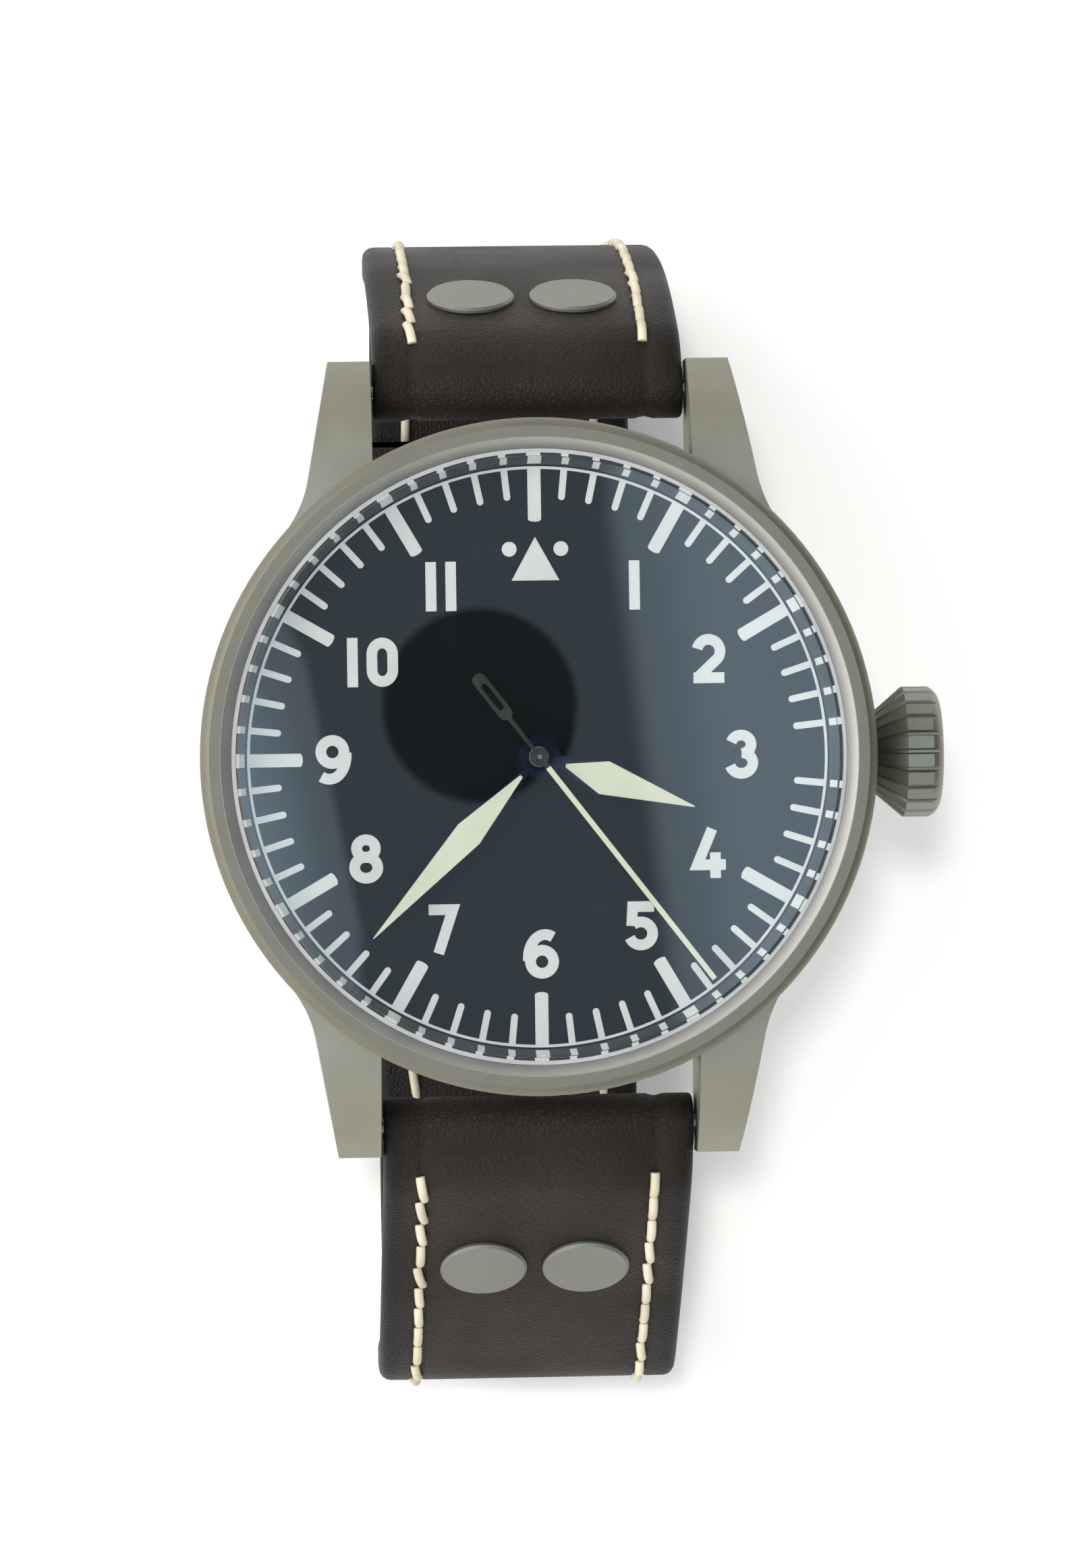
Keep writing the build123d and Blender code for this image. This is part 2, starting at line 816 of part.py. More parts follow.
# Barrel bridge and train bridge: two halves of a disc on pillars
bridge_radius = movement_radius - bridge_rim_gap
pillar_places = [polar(pillar_circle, angle) for angle in pillar_angles]
upper_pillars = [place for place in pillar_places if place[1] > bridge_split_y]
lower_pillars = [place for place in pillar_places if place[1] < bridge_split_y]

with BuildPart() as barrel_bridge:
    with BuildSketch(Plane.XY.offset(bridge_bottom)):
        Circle(bridge_radius)
        with Locations((0, bridge_split_y + bridge_split_gap / 2)):
            Rectangle(
                2 * bridge_radius, bridge_radius, align=(Align.CENTER, Align.MIN), mode=Mode.INTERSECT
            )
        with Locations(barrel_place):
            Circle(barrel_arbor_radius + run_gap, mode=Mode.SUBTRACT)
    extrude(amount=bridge_thick)
    for place in upper_pillars:
        with Locations((*place, bridge_bottom)):
            Cylinder(pillar_radius, plate_bottom - bridge_bottom, align=UP)
            Cylinder(screw_shank_radius + seat_gap, screw_length + run_gap, align=UP, mode=Mode.SUBTRACT)
write(barrel_bridge, "barrel_bridge")

with BuildPart() as train_bridge:
    with BuildSketch(Plane.XY.offset(bridge_bottom)):
        Circle(bridge_radius)
        with Locations((0, bridge_split_y - bridge_split_gap / 2)):
            Rectangle(
                2 * bridge_radius, 2 * bridge_radius, align=(Align.CENTER, Align.MAX), mode=Mode.INTERSECT
            )
    with BuildSketch(Plane.XY.offset(bridge_bottom), mode=Mode.PRIVATE) as balance_window:
        with Locations(balance_place):
            Circle(balance_radius + balance_room)
        with Locations((cock_foot_x, cock_foot_y)):
            Circle(cock_foot_radius + balance_room)
        with Locations((balance_place[0], -movement_radius)):
            Circle(balance_room)
        make_hull()
    extrude(amount=bridge_thick)
    extrude(balance_window.sketch, amount=bridge_thick, mode=Mode.SUBTRACT)
    for place in lower_pillars:
        with Locations((*place, bridge_bottom)):
            Cylinder(pillar_radius, plate_bottom - bridge_bottom, align=UP)
            Cylinder(screw_shank_radius + seat_gap, screw_length + run_gap, align=UP, mode=Mode.SUBTRACT)
    for place in (centre, third_place, escape_place):
        with Locations((*place, bridge_top)):
            Cylinder(
                pivot_radius + pivot_gap, pivot_length + pivot_gap, align=DOWN, mode=Mode.SUBTRACT
            )
write(train_bridge, "train_bridge")

# Balance cock: an arm over the balance on one foot, with an ear for the hairspring's end
hairspring_end = (balance_place[0] + hairspring_outer, balance_place[1])
with BuildPart() as balance_cock:
    with BuildSketch(Plane.XY.offset(cock_bottom)):
        with Locations(balance_place):
            Circle(cock_width / 2)
        with Locations((cock_foot_x, cock_foot_y)):
            Circle(cock_foot_radius)
        make_hull()
    with BuildSketch(Plane.XY.offset(cock_bottom)):
        with Locations(balance_place, hairspring_end):
            Circle(cock_foot_radius / 2)
        make_hull()
    extrude(amount=cock_thick)
    with Locations((*hairspring_end, cock_top)):
        Cylinder(hairspring_stud_radius, hairspring_gap, align=UP)
    with Locations((cock_foot_x, cock_foot_y, cock_bottom)):
        Cylinder(cock_foot_radius, plate_bottom - cock_bottom, align=UP)
        Cylinder(screw_shank_radius + seat_gap, screw_length + run_gap, align=UP, mode=Mode.SUBTRACT)
    with Locations((*balance_place, cock_top)):
        Cylinder(pivot_radius + pivot_gap, pivot_length + pivot_gap, align=DOWN, mode=Mode.SUBTRACT)
write(balance_cock, "balance_cock")

# Pallet bridge: a thin bar from its foot to the fork's lower pivot
pallet_foot_place = (pallet_foot_x, pallet_foot_y)
with BuildPart() as pallet_bridge:
    with BuildSketch(Plane.XY.offset(pallet_bridge_base)):
        with Locations(fork_place, pallet_foot_place):
            Circle(pallet_bridge_width / 2)
        make_hull()
    extrude(amount=pallet_bridge_thick)
    with Locations((*pallet_foot_place, pallet_bridge_base)):
        Cylinder(pallet_bridge_width / 2, plate_bottom - pallet_bridge_base, align=UP)
    with Locations((*fork_place, pallet_bridge_base)):
        Cylinder(pivot_radius + pivot_gap, pallet_bridge_thick, align=UP, mode=Mode.SUBTRACT)
write(pallet_bridge, "pallet_bridge")

# Slotted screws for the bridges and the cock, all in one node
screw_seats = [(*place, bridge_bottom) for place in pillar_places]
screw_seats.append((cock_foot_x, cock_foot_y, cock_bottom))
with BuildPart() as bridge_screws:
    for x, y, z in screw_seats:
        with Locations((x, y, z)):
            Cylinder(screw_head_radius, screw_head_height, align=DOWN)
            Cylinder(screw_shank_radius, screw_length, align=UP)
        with Locations((x, y, z - screw_head_height)):
            Box(2 * screw_head_radius, screw_slot_width, screw_slot_depth, align=UP, mode=Mode.SUBTRACT)
write(bridge_screws, "bridge_screws")

# Movement ring between the movement and the case, and the clamps under it
with BuildPart() as movement_ring:
    with Locations((0, 0, bridge_bottom)):
        Cylinder(movement_bore_radius - run_gap, dial_back - bridge_bottom, align=UP)
        Cylinder(movement_radius + run_gap, dial_back - bridge_bottom, align=UP, mode=Mode.SUBTRACT)
    with Locations((movement_radius, 0, stem_z)):
        Cylinder(
            tube_bore,
            2 * dial_ledge_width + over,
            rotation=(0, 90, 0),
            mode=Mode.SUBTRACT,
        )
    for angle in clamp_angles:
        with Locations((*polar(movement_radius + pillar_radius + clamp_inset, angle), bridge_bottom)):
            Cylinder(screw_shank_radius + seat_gap, screw_length + run_gap, align=UP, mode=Mode.SUBTRACT)
write(movement_ring, "movement_ring")

with BuildPart() as case_clamps:
    for angle in clamp_angles:
        x, y = polar(movement_radius + pillar_radius + clamp_inset, angle)
        with Locations(Location((x, y, bridge_bottom), (0, 0, angle))):
            with Locations((-clamp_width / 2, 0, 0)):
                Box(clamp_length, clamp_width, clamp_thick, align=(Align.CENTER, Align.CENTER, Align.MAX))
            Cylinder(screw_shank_radius, screw_length, align=UP)
            with Locations((0, 0, -clamp_thick)):
                Cylinder(screw_head_radius, screw_head_height, align=DOWN)
            with Locations((0, 0, -clamp_thick - screw_head_height)):
                Box(2 * screw_head_radius, screw_slot_width, screw_slot_depth, align=UP, mode=Mode.SUBTRACT)
write(case_clamps, "case_clamps")


def train_wheel(node, place, wheel, pinion, low, high):
    """Write a wheel and its pinion on one pivoted arbor. Each is (z, pitch, teeth, phase)."""
    wheel_z, wheel_pitch, wheel_teeth, wheel_phase = wheel
    pinion_z, pinion_pitch, pinion_leaves, pinion_phase = pinion
    with BuildPart() as arbor:
        extrude(toothed_face(place, wheel_z, wheel_pitch, wheel_teeth, wheel_phase), amount=wheel_thick)
        openings = window_face(
            place, wheel_z, hub_radius + rim_width, wheel_pitch - rim_width, 4, spoke_width
        )
        extrude(openings, amount=wheel_thick, mode=Mode.SUBTRACT)
        extrude(
            toothed_face(place, pinion_z, pinion_pitch, pinion_leaves, pinion_phase), amount=pinion_height
        )
        with Locations((*place, low)):
            Cylinder(arbor_radius, high - low, align=UP)
        with Locations((*place, low - pivot_length)):
            Cylinder(pivot_radius, high - low + 2 * pivot_length, align=UP)
    write(arbor, node)


arbor_low = bridge_top + shoulder_gap
arbor_high = plate_bottom - shoulder_gap
to_centre = 180.0
train_wheel(
    "third_wheel",
    third_place,
    (plate_bottom - third_wheel_drop, third_pitch, third_teeth, third_direction + to_centre),
    (
        plate_bottom - third_pinion_drop,
        third_pinion_pitch,
        third_leaves,
        mesh_phase(third_direction, third_leaves),
    ),
    arbor_low,
    arbor_high,
)

# Fourth wheel: its long arbor runs up the centre tube and carries the seconds hand
with BuildPart() as fourth_wheel:
    wheel_z = plate_bottom - fourth_wheel_drop
    fourth_face = toothed_face(centre, wheel_z, fourth_pitch, fourth_teeth, escape_direction)
    extrude(fourth_face, amount=wheel_thick)
    openings = window_face(
        centre, wheel_z, hub_radius + rim_width, fourth_pitch - rim_width, 4, spoke_width
    )
    extrude(openings, amount=wheel_thick, mode=Mode.SUBTRACT)
    fourth_phase = mesh_phase(third_direction + to_centre, fourth_leaves)
    extrude(
        toothed_face(
            centre, plate_bottom - fourth_pinion_drop, fourth_pinion_pitch, fourth_leaves, fourth_phase
        ),
        amount=pinion_height,
    )
    with Locations((0, 0, arbor_low)):
        Cylinder(arbor_radius, plate_bottom - centre_pinion_drop - shoulder_gap - arbor_low, align=UP)
        Cylinder(seconds_arbor_radius, seconds_hand_z + hand_thick - arbor_low, align=UP)
    with Locations((0, 0, arbor_low)):
        Cylinder(pivot_radius, pivot_length, align=DOWN)
write(fourth_wheel, "fourth_wheel")

# Centre wheel: a tube round the seconds arbor, with its pinion and its wheel
with BuildPart() as centre_wheel:
    wheel_z = plate_bottom - centre_wheel_drop
    pinion_z = plate_bottom - centre_pinion_drop
    centre_face = toothed_face(centre, wheel_z, centre_pitch, centre_teeth, third_direction)
    extrude(centre_face, amount=wheel_thick)
    openings = window_face(
        centre, wheel_z, centre_pinion_pitch + rim_width, centre_pitch - rim_width, 5, spoke_width
    )
    extrude(openings, amount=wheel_thick, mode=Mode.SUBTRACT)
    pinion_phase = mesh_phase(barrel_direction + to_centre, centre_leaves)
    extrude(
        toothed_face(centre, pinion_z, centre_pinion_pitch, centre_leaves, pinion_phase),
        amount=pinion_height,
    )
    with Locations((0, 0, pinion_z)):
        Cylinder(centre_tube_radius, minute_hand_z - pinion_z, align=UP)
        Cylinder(centre_tube_bore, minute_hand_z - pinion_z, align=UP, mode=Mode.SUBTRACT)
write(centre_wheel, "centre_wheel")

# Barrel: a toothed drum open below, its cover, its mainspring and the arbor through them
drum_radius = barrel_pitch - dedendum_share * 2 * barrel_pitch / barrel_teeth
cavity_radius = drum_radius - barrel_wall
with BuildPart() as barrel:
    with Locations((*barrel_place, barrel_bottom)):
        Cylinder(drum_radius, barrel_top - barrel_bottom, align=UP)
    extrude(
        toothed_face(
            barrel_place,
            barrel_top - barrel_tooth_height,
            barrel_pitch,
            barrel_teeth,
            barrel_direction + to_centre,
        ),
        amount=barrel_tooth_height,
    )
    with Locations((*barrel_place, barrel_bottom)):
        Cylinder(cavity_radius, barrel_top - barrel_bottom - barrel_floor, align=UP, mode=Mode.SUBTRACT)
        Cylinder(barrel_arbor_radius + run_gap, barrel_top - barrel_bottom, align=UP, mode=Mode.SUBTRACT)
write(barrel, "barrel")

with BuildPart() as barrel_cover:
    with Locations((*barrel_place, barrel_bottom)):
        Cylinder(cavity_radius - seat_gap, barrel_floor, align=UP)
        Cylinder(barrel_arbor_radius + run_gap, barrel_floor, align=UP, mode=Mode.SUBTRACT)
write(barrel_cover, "barrel_cover")

spring_room = barrel_top - barrel_bottom - 2 * barrel_floor
with BuildPart() as mainspring:
    leaf = spiral_face(
        barrel_place,
        barrel_bottom + barrel_floor + run_gap,
        mainspring_inner,
        cavity_radius - mainspring_leaf - mainspring_gap,
        mainspring_turns,
        mainspring_leaf,
    )
    extrude(leaf, amount=spring_room - 2 * run_gap)
write(mainspring, "mainspring")

ratchet_z = bridge_bottom - ratchet_drop - ratchet_thick
with BuildPart() as barrel_arbor:
    with Locations((*barrel_place, ratchet_z)):
        Cylinder(barrel_arbor_radius, barrel_top + run_gap - ratchet_z, align=UP)
    with Locations((*barrel_place, barrel_bottom + barrel_floor + run_gap)):
        Cylinder(mainspring_inner - run_gap, spring_room - 2 * run_gap, align=UP)
    with Locations((*barrel_place, barrel_top + run_gap)):
        Cylinder(bar_stem_radius, plate_bottom + pivot_length - barrel_top - run_gap, align=UP)
write(barrel_arbor, "barrel_arbor")

with BuildPart() as ratchet_wheel:
    extrude(toothed_face(barrel_place, ratchet_z, ratchet_radius, ratchet_teeth, 0), amount=ratchet_thick)
    with Locations((*barrel_place, ratchet_z)):
        Cylinder(barrel_arbor_radius + seat_gap, ratchet_thick, align=UP, mode=Mode.SUBTRACT)
write(ratchet_wheel, "ratchet_wheel")

# Motion work under the dial
motion_z = motion_floor + motion_level
hour_wheel_z = motion_floor + hour_wheel_level
with BuildPart() as cannon_pinion:
    extrude(
        toothed_face(centre, motion_z, cannon_pitch, cannon_leaves, motion_direction),
        amount=cannon_pinion_height,
    )
    with Locations((0, 0, motion_z)):
        Cylinder(cannon_tube_radius, minute_hand_z + hand_thick - motion_z, align=UP)
        Cylinder(
            centre_tube_radius + seat_gap,
            minute_hand_z + hand_thick - motion_z,
            align=UP,
            mode=Mode.SUBTRACT,
        )
write(cannon_pinion, "cannon_pinion")

with BuildPart() as minute_wheel:
    minute_phase = mesh_phase(motion_direction, minute_teeth)
    minute_face = toothed_face(minute_place, motion_z, minute_pitch, minute_teeth, minute_phase)
    extrude(minute_face, amount=wheel_thick)
    extrude(
        toothed_face(
            minute_place, motion_z, minute_pinion_pitch, minute_leaves, motion_direction + to_centre
        ),
        amount=dial_back - run_gap - motion_z,
    )
    with Locations((*minute_place, motion_z)):
        Cylinder(motion_stud_radius + run_gap, motion_recess, align=UP, mode=Mode.SUBTRACT)
write(minute_wheel, "minute_wheel")

with BuildPart() as hour_wheel:
    hour_phase = mesh_phase(motion_direction + to_centre, hour_teeth)
    extrude(toothed_face(centre, hour_wheel_z, hour_pitch, hour_teeth, hour_phase), amount=wheel_thick)
    with Locations((0, 0, hour_wheel_z)):
        Cylinder(hour_tube_radius, hour_hand_z + hand_thick - hour_wheel_z, align=UP)
        Cylinder(hour_tube_bore, hour_hand_z + hand_thick - hour_wheel_z, align=UP, mode=Mode.SUBTRACT)
write(hour_wheel, "hour_wheel")

with BuildPart() as setting_wheel:
    setting_face = toothed_face(setting_place, motion_z, setting_pitch, setting_teeth, to_centre)
    extrude(setting_face, amount=wheel_thick)
    with Locations((*setting_place, motion_z)):
        Cylinder(motion_stud_radius + run_gap, motion_recess, align=UP, mode=Mode.SUBTRACT)
write(setting_wheel, "setting_wheel")

# Click: the pawl beside the ratchet wheel
click_place = (barrel_place[0] + click_distance, barrel_place[1])
click_tip = polar(click_tip_distance, click_direction)
with BuildPart() as click:
    with BuildSketch(Plane.XY.offset(ratchet_z)):
        with Locations(click_place):
            Circle(click_radius)
        with Locations((barrel_place[0] + click_tip[0], barrel_place[1] + click_tip[1])):
            Circle(click_tip_radius)
        make_hull()
    extrude(amount=ratchet_thick)
    with Locations((*click_place, ratchet_z)):
        Cylinder(click_radius, bridge_bottom - ratchet_z, align=UP)
write(click, "click")

# Escape wheel: pointed teeth, four arms and its pinion
escape_wheel_z = plate_bottom - escape_wheel_drop
escape_points = []
for tooth in range(escape_teeth):
    for share, reach in escape_tooth_shares:
        radius = escape_radius - escape_tooth_depth * (1 - reach)
        angle = 2 * pi * (tooth + share) / escape_teeth
        escape_points.append((radius * cos(angle), radius * sin(angle)))
with BuildPart() as escape_wheel:
    with BuildSketch(Plane(origin=(*escape_place, escape_wheel_z))):
        Polygon(*escape_points, align=None)
    extrude(amount=wheel_thick)
    openings = window_face(
        escape_place, escape_wheel_z, hub_radius, escape_radius - 2 * escape_tooth_depth, 4, spoke_width
    )
    extrude(openings, amount=wheel_thick, mode=Mode.SUBTRACT)
    escape_phase = mesh_phase(escape_direction, escape_leaves)
    extrude(
        toothed_face(
            escape_place, plate_bottom - escape_pinion_drop, escape_pinion_pitch, escape_leaves, escape_phase
        ),
        amount=pinion_height,
    )
    with Locations((*escape_place, arbor_low)):
        Cylinder(arbor_radius, arbor_high - arbor_low, align=UP)
    with Locations((*escape_place, arbor_low - pivot_length)):
        Cylinder(pivot_radius, arbor_high - arbor_low + 2 * pivot_length, align=UP)
write(escape_wheel, "escape_wheel")

# Pallet fork: two arms with their stones, and a lever with a notch for the impulse pin
fork_low = pallet_bridge_top + shoulder_gap
with BuildPart() as pallet_fork:
    with BuildSketch(Plane(origin=(*fork_place, escape_wheel_z))) as fork_plan:
        Circle(fork_arm_width)
        Rectangle(
            2 * fork_lever_half_width, balance_distance - impulse_orbit, align=(Align.CENTER, Align.MAX)
        )
        with Locations((0, impulse_orbit / 2 - balance_distance)):
            Rectangle(
                2 * fork_horn_half_width, fork_horn_half_width, align=(Align.CENTER, Align.MIN)
            )
            Rectangle(
                2 * fork_lever_half_width - pallet_gap,
                2 * fork_lever_half_width,
                align=(Align.CENTER, Align.MIN),
                mode=Mode.SUBTRACT,
            )
    for side in (-1, 1):
        lean = radians(side * fork_spread)
        inner = escape_radius + pallet_gap
        outer = inner + pallet_length
        with BuildSketch(Plane(origin=(*fork_place, escape_wheel_z))):
            with Locations((0, 0), (outer * sin(lean), fork_distance - outer * cos(lean))):
                Circle(fork_arm_width / 2)
            make_hull()
        with BuildSketch(Plane(origin=(*fork_place, escape_wheel_z))):
            middle = (inner + outer) / 2
            with Locations((middle * sin(lean), fork_distance - middle * cos(lean))):
                Rectangle(pallet_width, pallet_length, rotation=side * fork_spread)
    extrude(amount=wheel_thick)
    with Locations((*fork_place, fork_low)):
        Cylinder(arbor_radius, arbor_high - fork_low, align=UP)
        Cylinder(pivot_radius, fork_low - pallet_bridge_base, align=DOWN)
    with Locations((*fork_place, arbor_high)):
        Cylinder(pivot_radius, pivot_length, align=UP)
write(pallet_fork, "pallet_fork")

# Balance wheel on its staff, with the roller that carries the impulse pin
balance_z = plate_bottom - balance_drop
staff_low = cock_top + shoulder_gap
roller_z = plate_bottom - roller_drop
with BuildPart() as balance_wheel:
    with Locations((*balance_place, balance_z)):
        Cylinder(balance_radius, balance_thick, align=UP)
    openings = window_face(
        balance_place, balance_z, balance_hub, balance_radius - balance_rim, 3, 2 * spoke_width
    )
    extrude(openings, amount=balance_thick, mode=Mode.SUBTRACT)
    with Locations((*balance_place, staff_low)):
        Cylinder(hairspring_inner - collet_gap, balance_z - staff_low, align=UP)
        Cylinder(arbor_radius, arbor_high - staff_low, align=UP)
    with Locations((*balance_place, staff_low - pivot_length)):
        Cylinder(pivot_radius, arbor_high - staff_low + 2 * pivot_length, align=UP)
    with Locations((*balance_place, roller_z)):
        Cylinder(roller_radius, roller_thick, align=UP)
    with Locations((balance_place[0], balance_place[1] + impulse_orbit, roller_z + roller_thick)):
        Cylinder(impulse_radius, impulse_height, align=UP)
write(balance_wheel, "balance_wheel")

with BuildPart() as hairspring:
    leaf = spiral_face(
        balance_place,
        cock_top + hairspring_gap,
        hairspring_inner,
        hairspring_outer,
        hairspring_turns,
        hairspring_leaf,
    )
    extrude(leaf, amount=hairspring_height)
write(hairspring, "hairspring")

# Rotor and its bearing under the bridges
rotor_top = cock_bottom - screw_head_height - rotor_room
rotor_bottom = rotor_top - rotor_plate_thick
hub_bottom = rotor_top - rotor_hub_height
with BuildPart() as rotor_bearing:
    with Locations((0, 0, bridge_bottom)):
        Cylinder(bearing_flange_radius, bearing_flange_thick, align=DOWN)
        Cylinder(rotor_bore - run_gap, bridge_bottom - hub_bottom + run_gap, align=DOWN)
    with Locations((0, 0, hub_bottom - run_gap)):
        Cylinder(bearing_flange_radius, bearing_flange_thick, align=DOWN)
write(rotor_bearing, "rotor_bearing")


def rotor_plane(z):
    """A level plane whose X runs towards the middle of the rotor's half disc."""
    x, y = polar(rotor_radius, rotor_direction)
    return Plane(origin=(0, 0, z), x_dir=(x, y, 0), z_dir=(0, 0, 1))


half_align = (Align.MIN, Align.CENTER)
with BuildPart() as rotor:
    with BuildSketch(rotor_plane(rotor_bottom)):
        Circle(rotor_radius)
        Rectangle(rotor_radius, 2 * rotor_radius, align=half_align, mode=Mode.INTERSECT)
    extrude(amount=rotor_plate_thick)
    with BuildSketch(rotor_plane(rotor_bottom)):
        Circle(rotor_window_radius)
        Circle(rotor_window_inner, mode=Mode.SUBTRACT)
        with Locations((rotor_rib_width, 0)):
            Rectangle(rotor_radius, 2 * rotor_radius, align=half_align, mode=Mode.INTERSECT)
        Rectangle(rotor_radius, rotor_rib_width, align=half_align, mode=Mode.SUBTRACT)
    extrude(amount=rotor_plate_thick, mode=Mode.SUBTRACT)
    with BuildSketch(rotor_plane(rotor_bottom)):
        Circle(rotor_radius)
        Circle(rotor_radius - rotor_rim_width, mode=Mode.SUBTRACT)
        Rectangle(rotor_radius, 2 * rotor_radius, align=half_align, mode=Mode.INTERSECT)
    extrude(amount=-rotor_rim_height)
    with Locations((0, 0, hub_bottom)):
        Cylinder(rotor_hub_radius, rotor_hub_height, align=UP)
        Cylinder(rotor_bore, rotor_hub_height, align=UP, mode=Mode.SUBTRACT)
write(rotor, "rotor")


def round_face(x, radius, y, z):
    """A round face across the X direction, ready to be extruded along it."""
    with BuildSketch(Plane.YZ.offset(x)) as face:
        with Locations((y, z)):
            Circle(radius)
    return face.sketch


def square_face(x, side, y, z):
    """A square face across the X direction."""
    with BuildSketch(Plane.YZ.offset(x)) as face:
        with Locations((y, z)):
            Rectangle(side, side)
    return face.sketch


# Stem with its square end, and the two pinions on it
with BuildPart() as stem:
    extrude(square_face(stem_start, stem_square, 0, stem_z), amount=stem_square_end - stem_start)
    extrude(round_face(stem_square_end, stem_radius, 0, stem_z), amount=stem_end - stem_square_end)
write(stem, "stem")

groove_start = sliding_pinion_start + (sliding_pinion_length - sliding_groove_length) / 2
with BuildPart() as sliding_pinion:
    extrude(round_face(sliding_pinion_start, sliding_pinion_radius, 0, stem_z), amount=sliding_pinion_length)
    with BuildSketch(Plane.YZ.offset(groove_start)):
        with Locations((0, stem_z)):
            Circle(sliding_pinion_radius)
            Circle(sliding_pinion_radius - sliding_groove_depth, mode=Mode.SUBTRACT)
    extrude(amount=sliding_groove_length, mode=Mode.SUBTRACT)
    extrude(
        square_face(sliding_pinion_start, stem_square + 2 * seat_gap, 0, stem_z),
        amount=sliding_pinion_length,
        mode=Mode.SUBTRACT,
    )
write(sliding_pinion, "sliding_pinion")

winding_pinion_start = sliding_pinion_start + sliding_pinion_length + face_gap
with BuildPart() as winding_pinion:
    with BuildSketch(Plane.YZ.offset(winding_pinion_start)):
        with Locations((0, stem_z)):
            Polygon(*tooth_points(winding_pinion_radius, winding_teeth, 0), align=None)
            Circle(stem_radius + soft_gap, mode=Mode.SUBTRACT)
    extrude(amount=winding_pinion_length)
write(winding_pinion, "winding_pinion")

# Crown tube in the case wall, and the fluted crown that runs over it
tube_start = movement_bore_radius + soft_gap
with BuildPart() as crown_tube:
    extrude(round_face(tube_start, tube_radius, 0, stem_z), amount=case_radius + tube_reach - tube_start)
    extrude(
        round_face(tube_start, tube_bore, 0, stem_z),
        amount=case_radius + tube_reach - tube_start,
        mode=Mode.SUBTRACT,
    )
write(crown_tube, "crown_tube")


def flute_points(radius):
    """The crown's fluted outline at a radius, its flutes as deep a share of it as at the grip."""
    points = []
    for flute in range(crown_flutes):
        for share, depth in crown_flute_shares:
            reach = radius * (1 - depth * crown_flute_depth / crown_radius)
            angle = 2 * pi * (flute + share) / crown_flutes
            points.append((reach * cos(angle), reach * sin(angle)))
    return points


neck_x = case_radius + crown_gap
grip_x = neck_x + crown_cone_length
shoulder_x = grip_x + crown_grip_length
end_x = shoulder_x + crown_end_length
bore_end_x = neck_x + crown_bore_depth
with BuildPart() as crown:
    for x, radius in ((neck_x, crown_neck_radius), (grip_x, crown_radius)):
        with BuildSketch(Plane.YZ.offset(x)):
            with Locations((0, stem_z)):
                Polygon(*flute_points(radius), align=None)
    loft(ruled=True)
    with BuildSketch(Plane.YZ.offset(grip_x)):
        with Locations((0, stem_z)):
            Polygon(*flute_points(crown_radius), align=None)
    extrude(amount=end_x - grip_x)
    with BuildSketch(Plane(origin=(0, 0, stem_z), x_dir=(1, 0, 0), z_dir=(0, -1, 0))):
        with BuildLine():
            Polyline(
                (shoulder_x, crown_radius + seat_gap),
                (neck_x - over, crown_radius + seat_gap),
                (neck_x - over, 0),
                (end_x, 0),
                (end_x, crown_end_radius),
            )
            ThreePointArc(
                (end_x, crown_end_radius),
                (
                    shoulder_x + crown_end_length * sin(pi / 4),
                    crown_end_radius + (crown_radius - crown_end_radius) * cos(pi / 4),
                ),
                (shoulder_x, crown_radius + seat_gap),
            )
        make_face()
    revolve(axis=Axis((0, 0, stem_z), (1, 0, 0)), mode=Mode.INTERSECT)
    extrude(
        round_face(neck_x, tube_radius + crown_bore_gap, 0, stem_z),
        amount=crown_bore_depth,
        mode=Mode.SUBTRACT,
    )
    extrude(
        round_face(bore_end_x, stem_radius + seat_gap, 0, stem_z),
        amount=stem_end + seat_gap - bore_end_x,
        mode=Mode.SUBTRACT,
    )
write(crown, "crown")

with BuildPart() as crown_gasket:
    gasket_x = neck_x + crown_gasket_start
    extrude(
        round_face(gasket_x, tube_radius + crown_bore_gap - seat_gap, 0, stem_z),
        amount=crown_gasket_height,
    )
    extrude(
        round_face(gasket_x, tube_radius + run_gap, 0, stem_z),
        amount=crown_gasket_height,
        mode=Mode.SUBTRACT,
    )
write(crown_gasket, "crown_gasket")

# Levels of the closed strap, from the bottom of its keepers up
tail_outer_z = loop_bottom + keeper_wall + soft_gap
rear_flat_z = tail_outer_z + tail_step
front_flat_z = tail_outer_z + strap_thick + soft_gap
buckle_z = front_flat_z + strap_thick / 2


def sprung_bar(node, y, z, half, tube, stem_size, pivot, reach):
    """Write a bar's tube and its two sprung tips."""
    bore = bar_stem_length + bar_press_room
    with BuildPart() as bar:
        extrude(round_face(-half, tube, y, z), amount=2 * half)
        extrude(round_face(-half, stem_size + run_gap, y, z), amount=bore, mode=Mode.SUBTRACT)
        extrude(round_face(half - bore, stem_size + run_gap, y, z), amount=bore, mode=Mode.SUBTRACT)
    write(bar, node)
    with BuildPart() as left:
        extrude(round_face(-half, stem_size, y, z), amount=bar_stem_length)
        extrude(round_face(-half - reach, pivot, y, z), amount=reach)
    write(left, f"{node}_tip_left")
    with BuildPart() as right:
        extrude(round_face(half - bar_stem_length, stem_size, y, z), amount=bar_stem_length)
        extrude(round_face(half, pivot, y, z), amount=reach)
    write(right, f"{node}_tip_right")


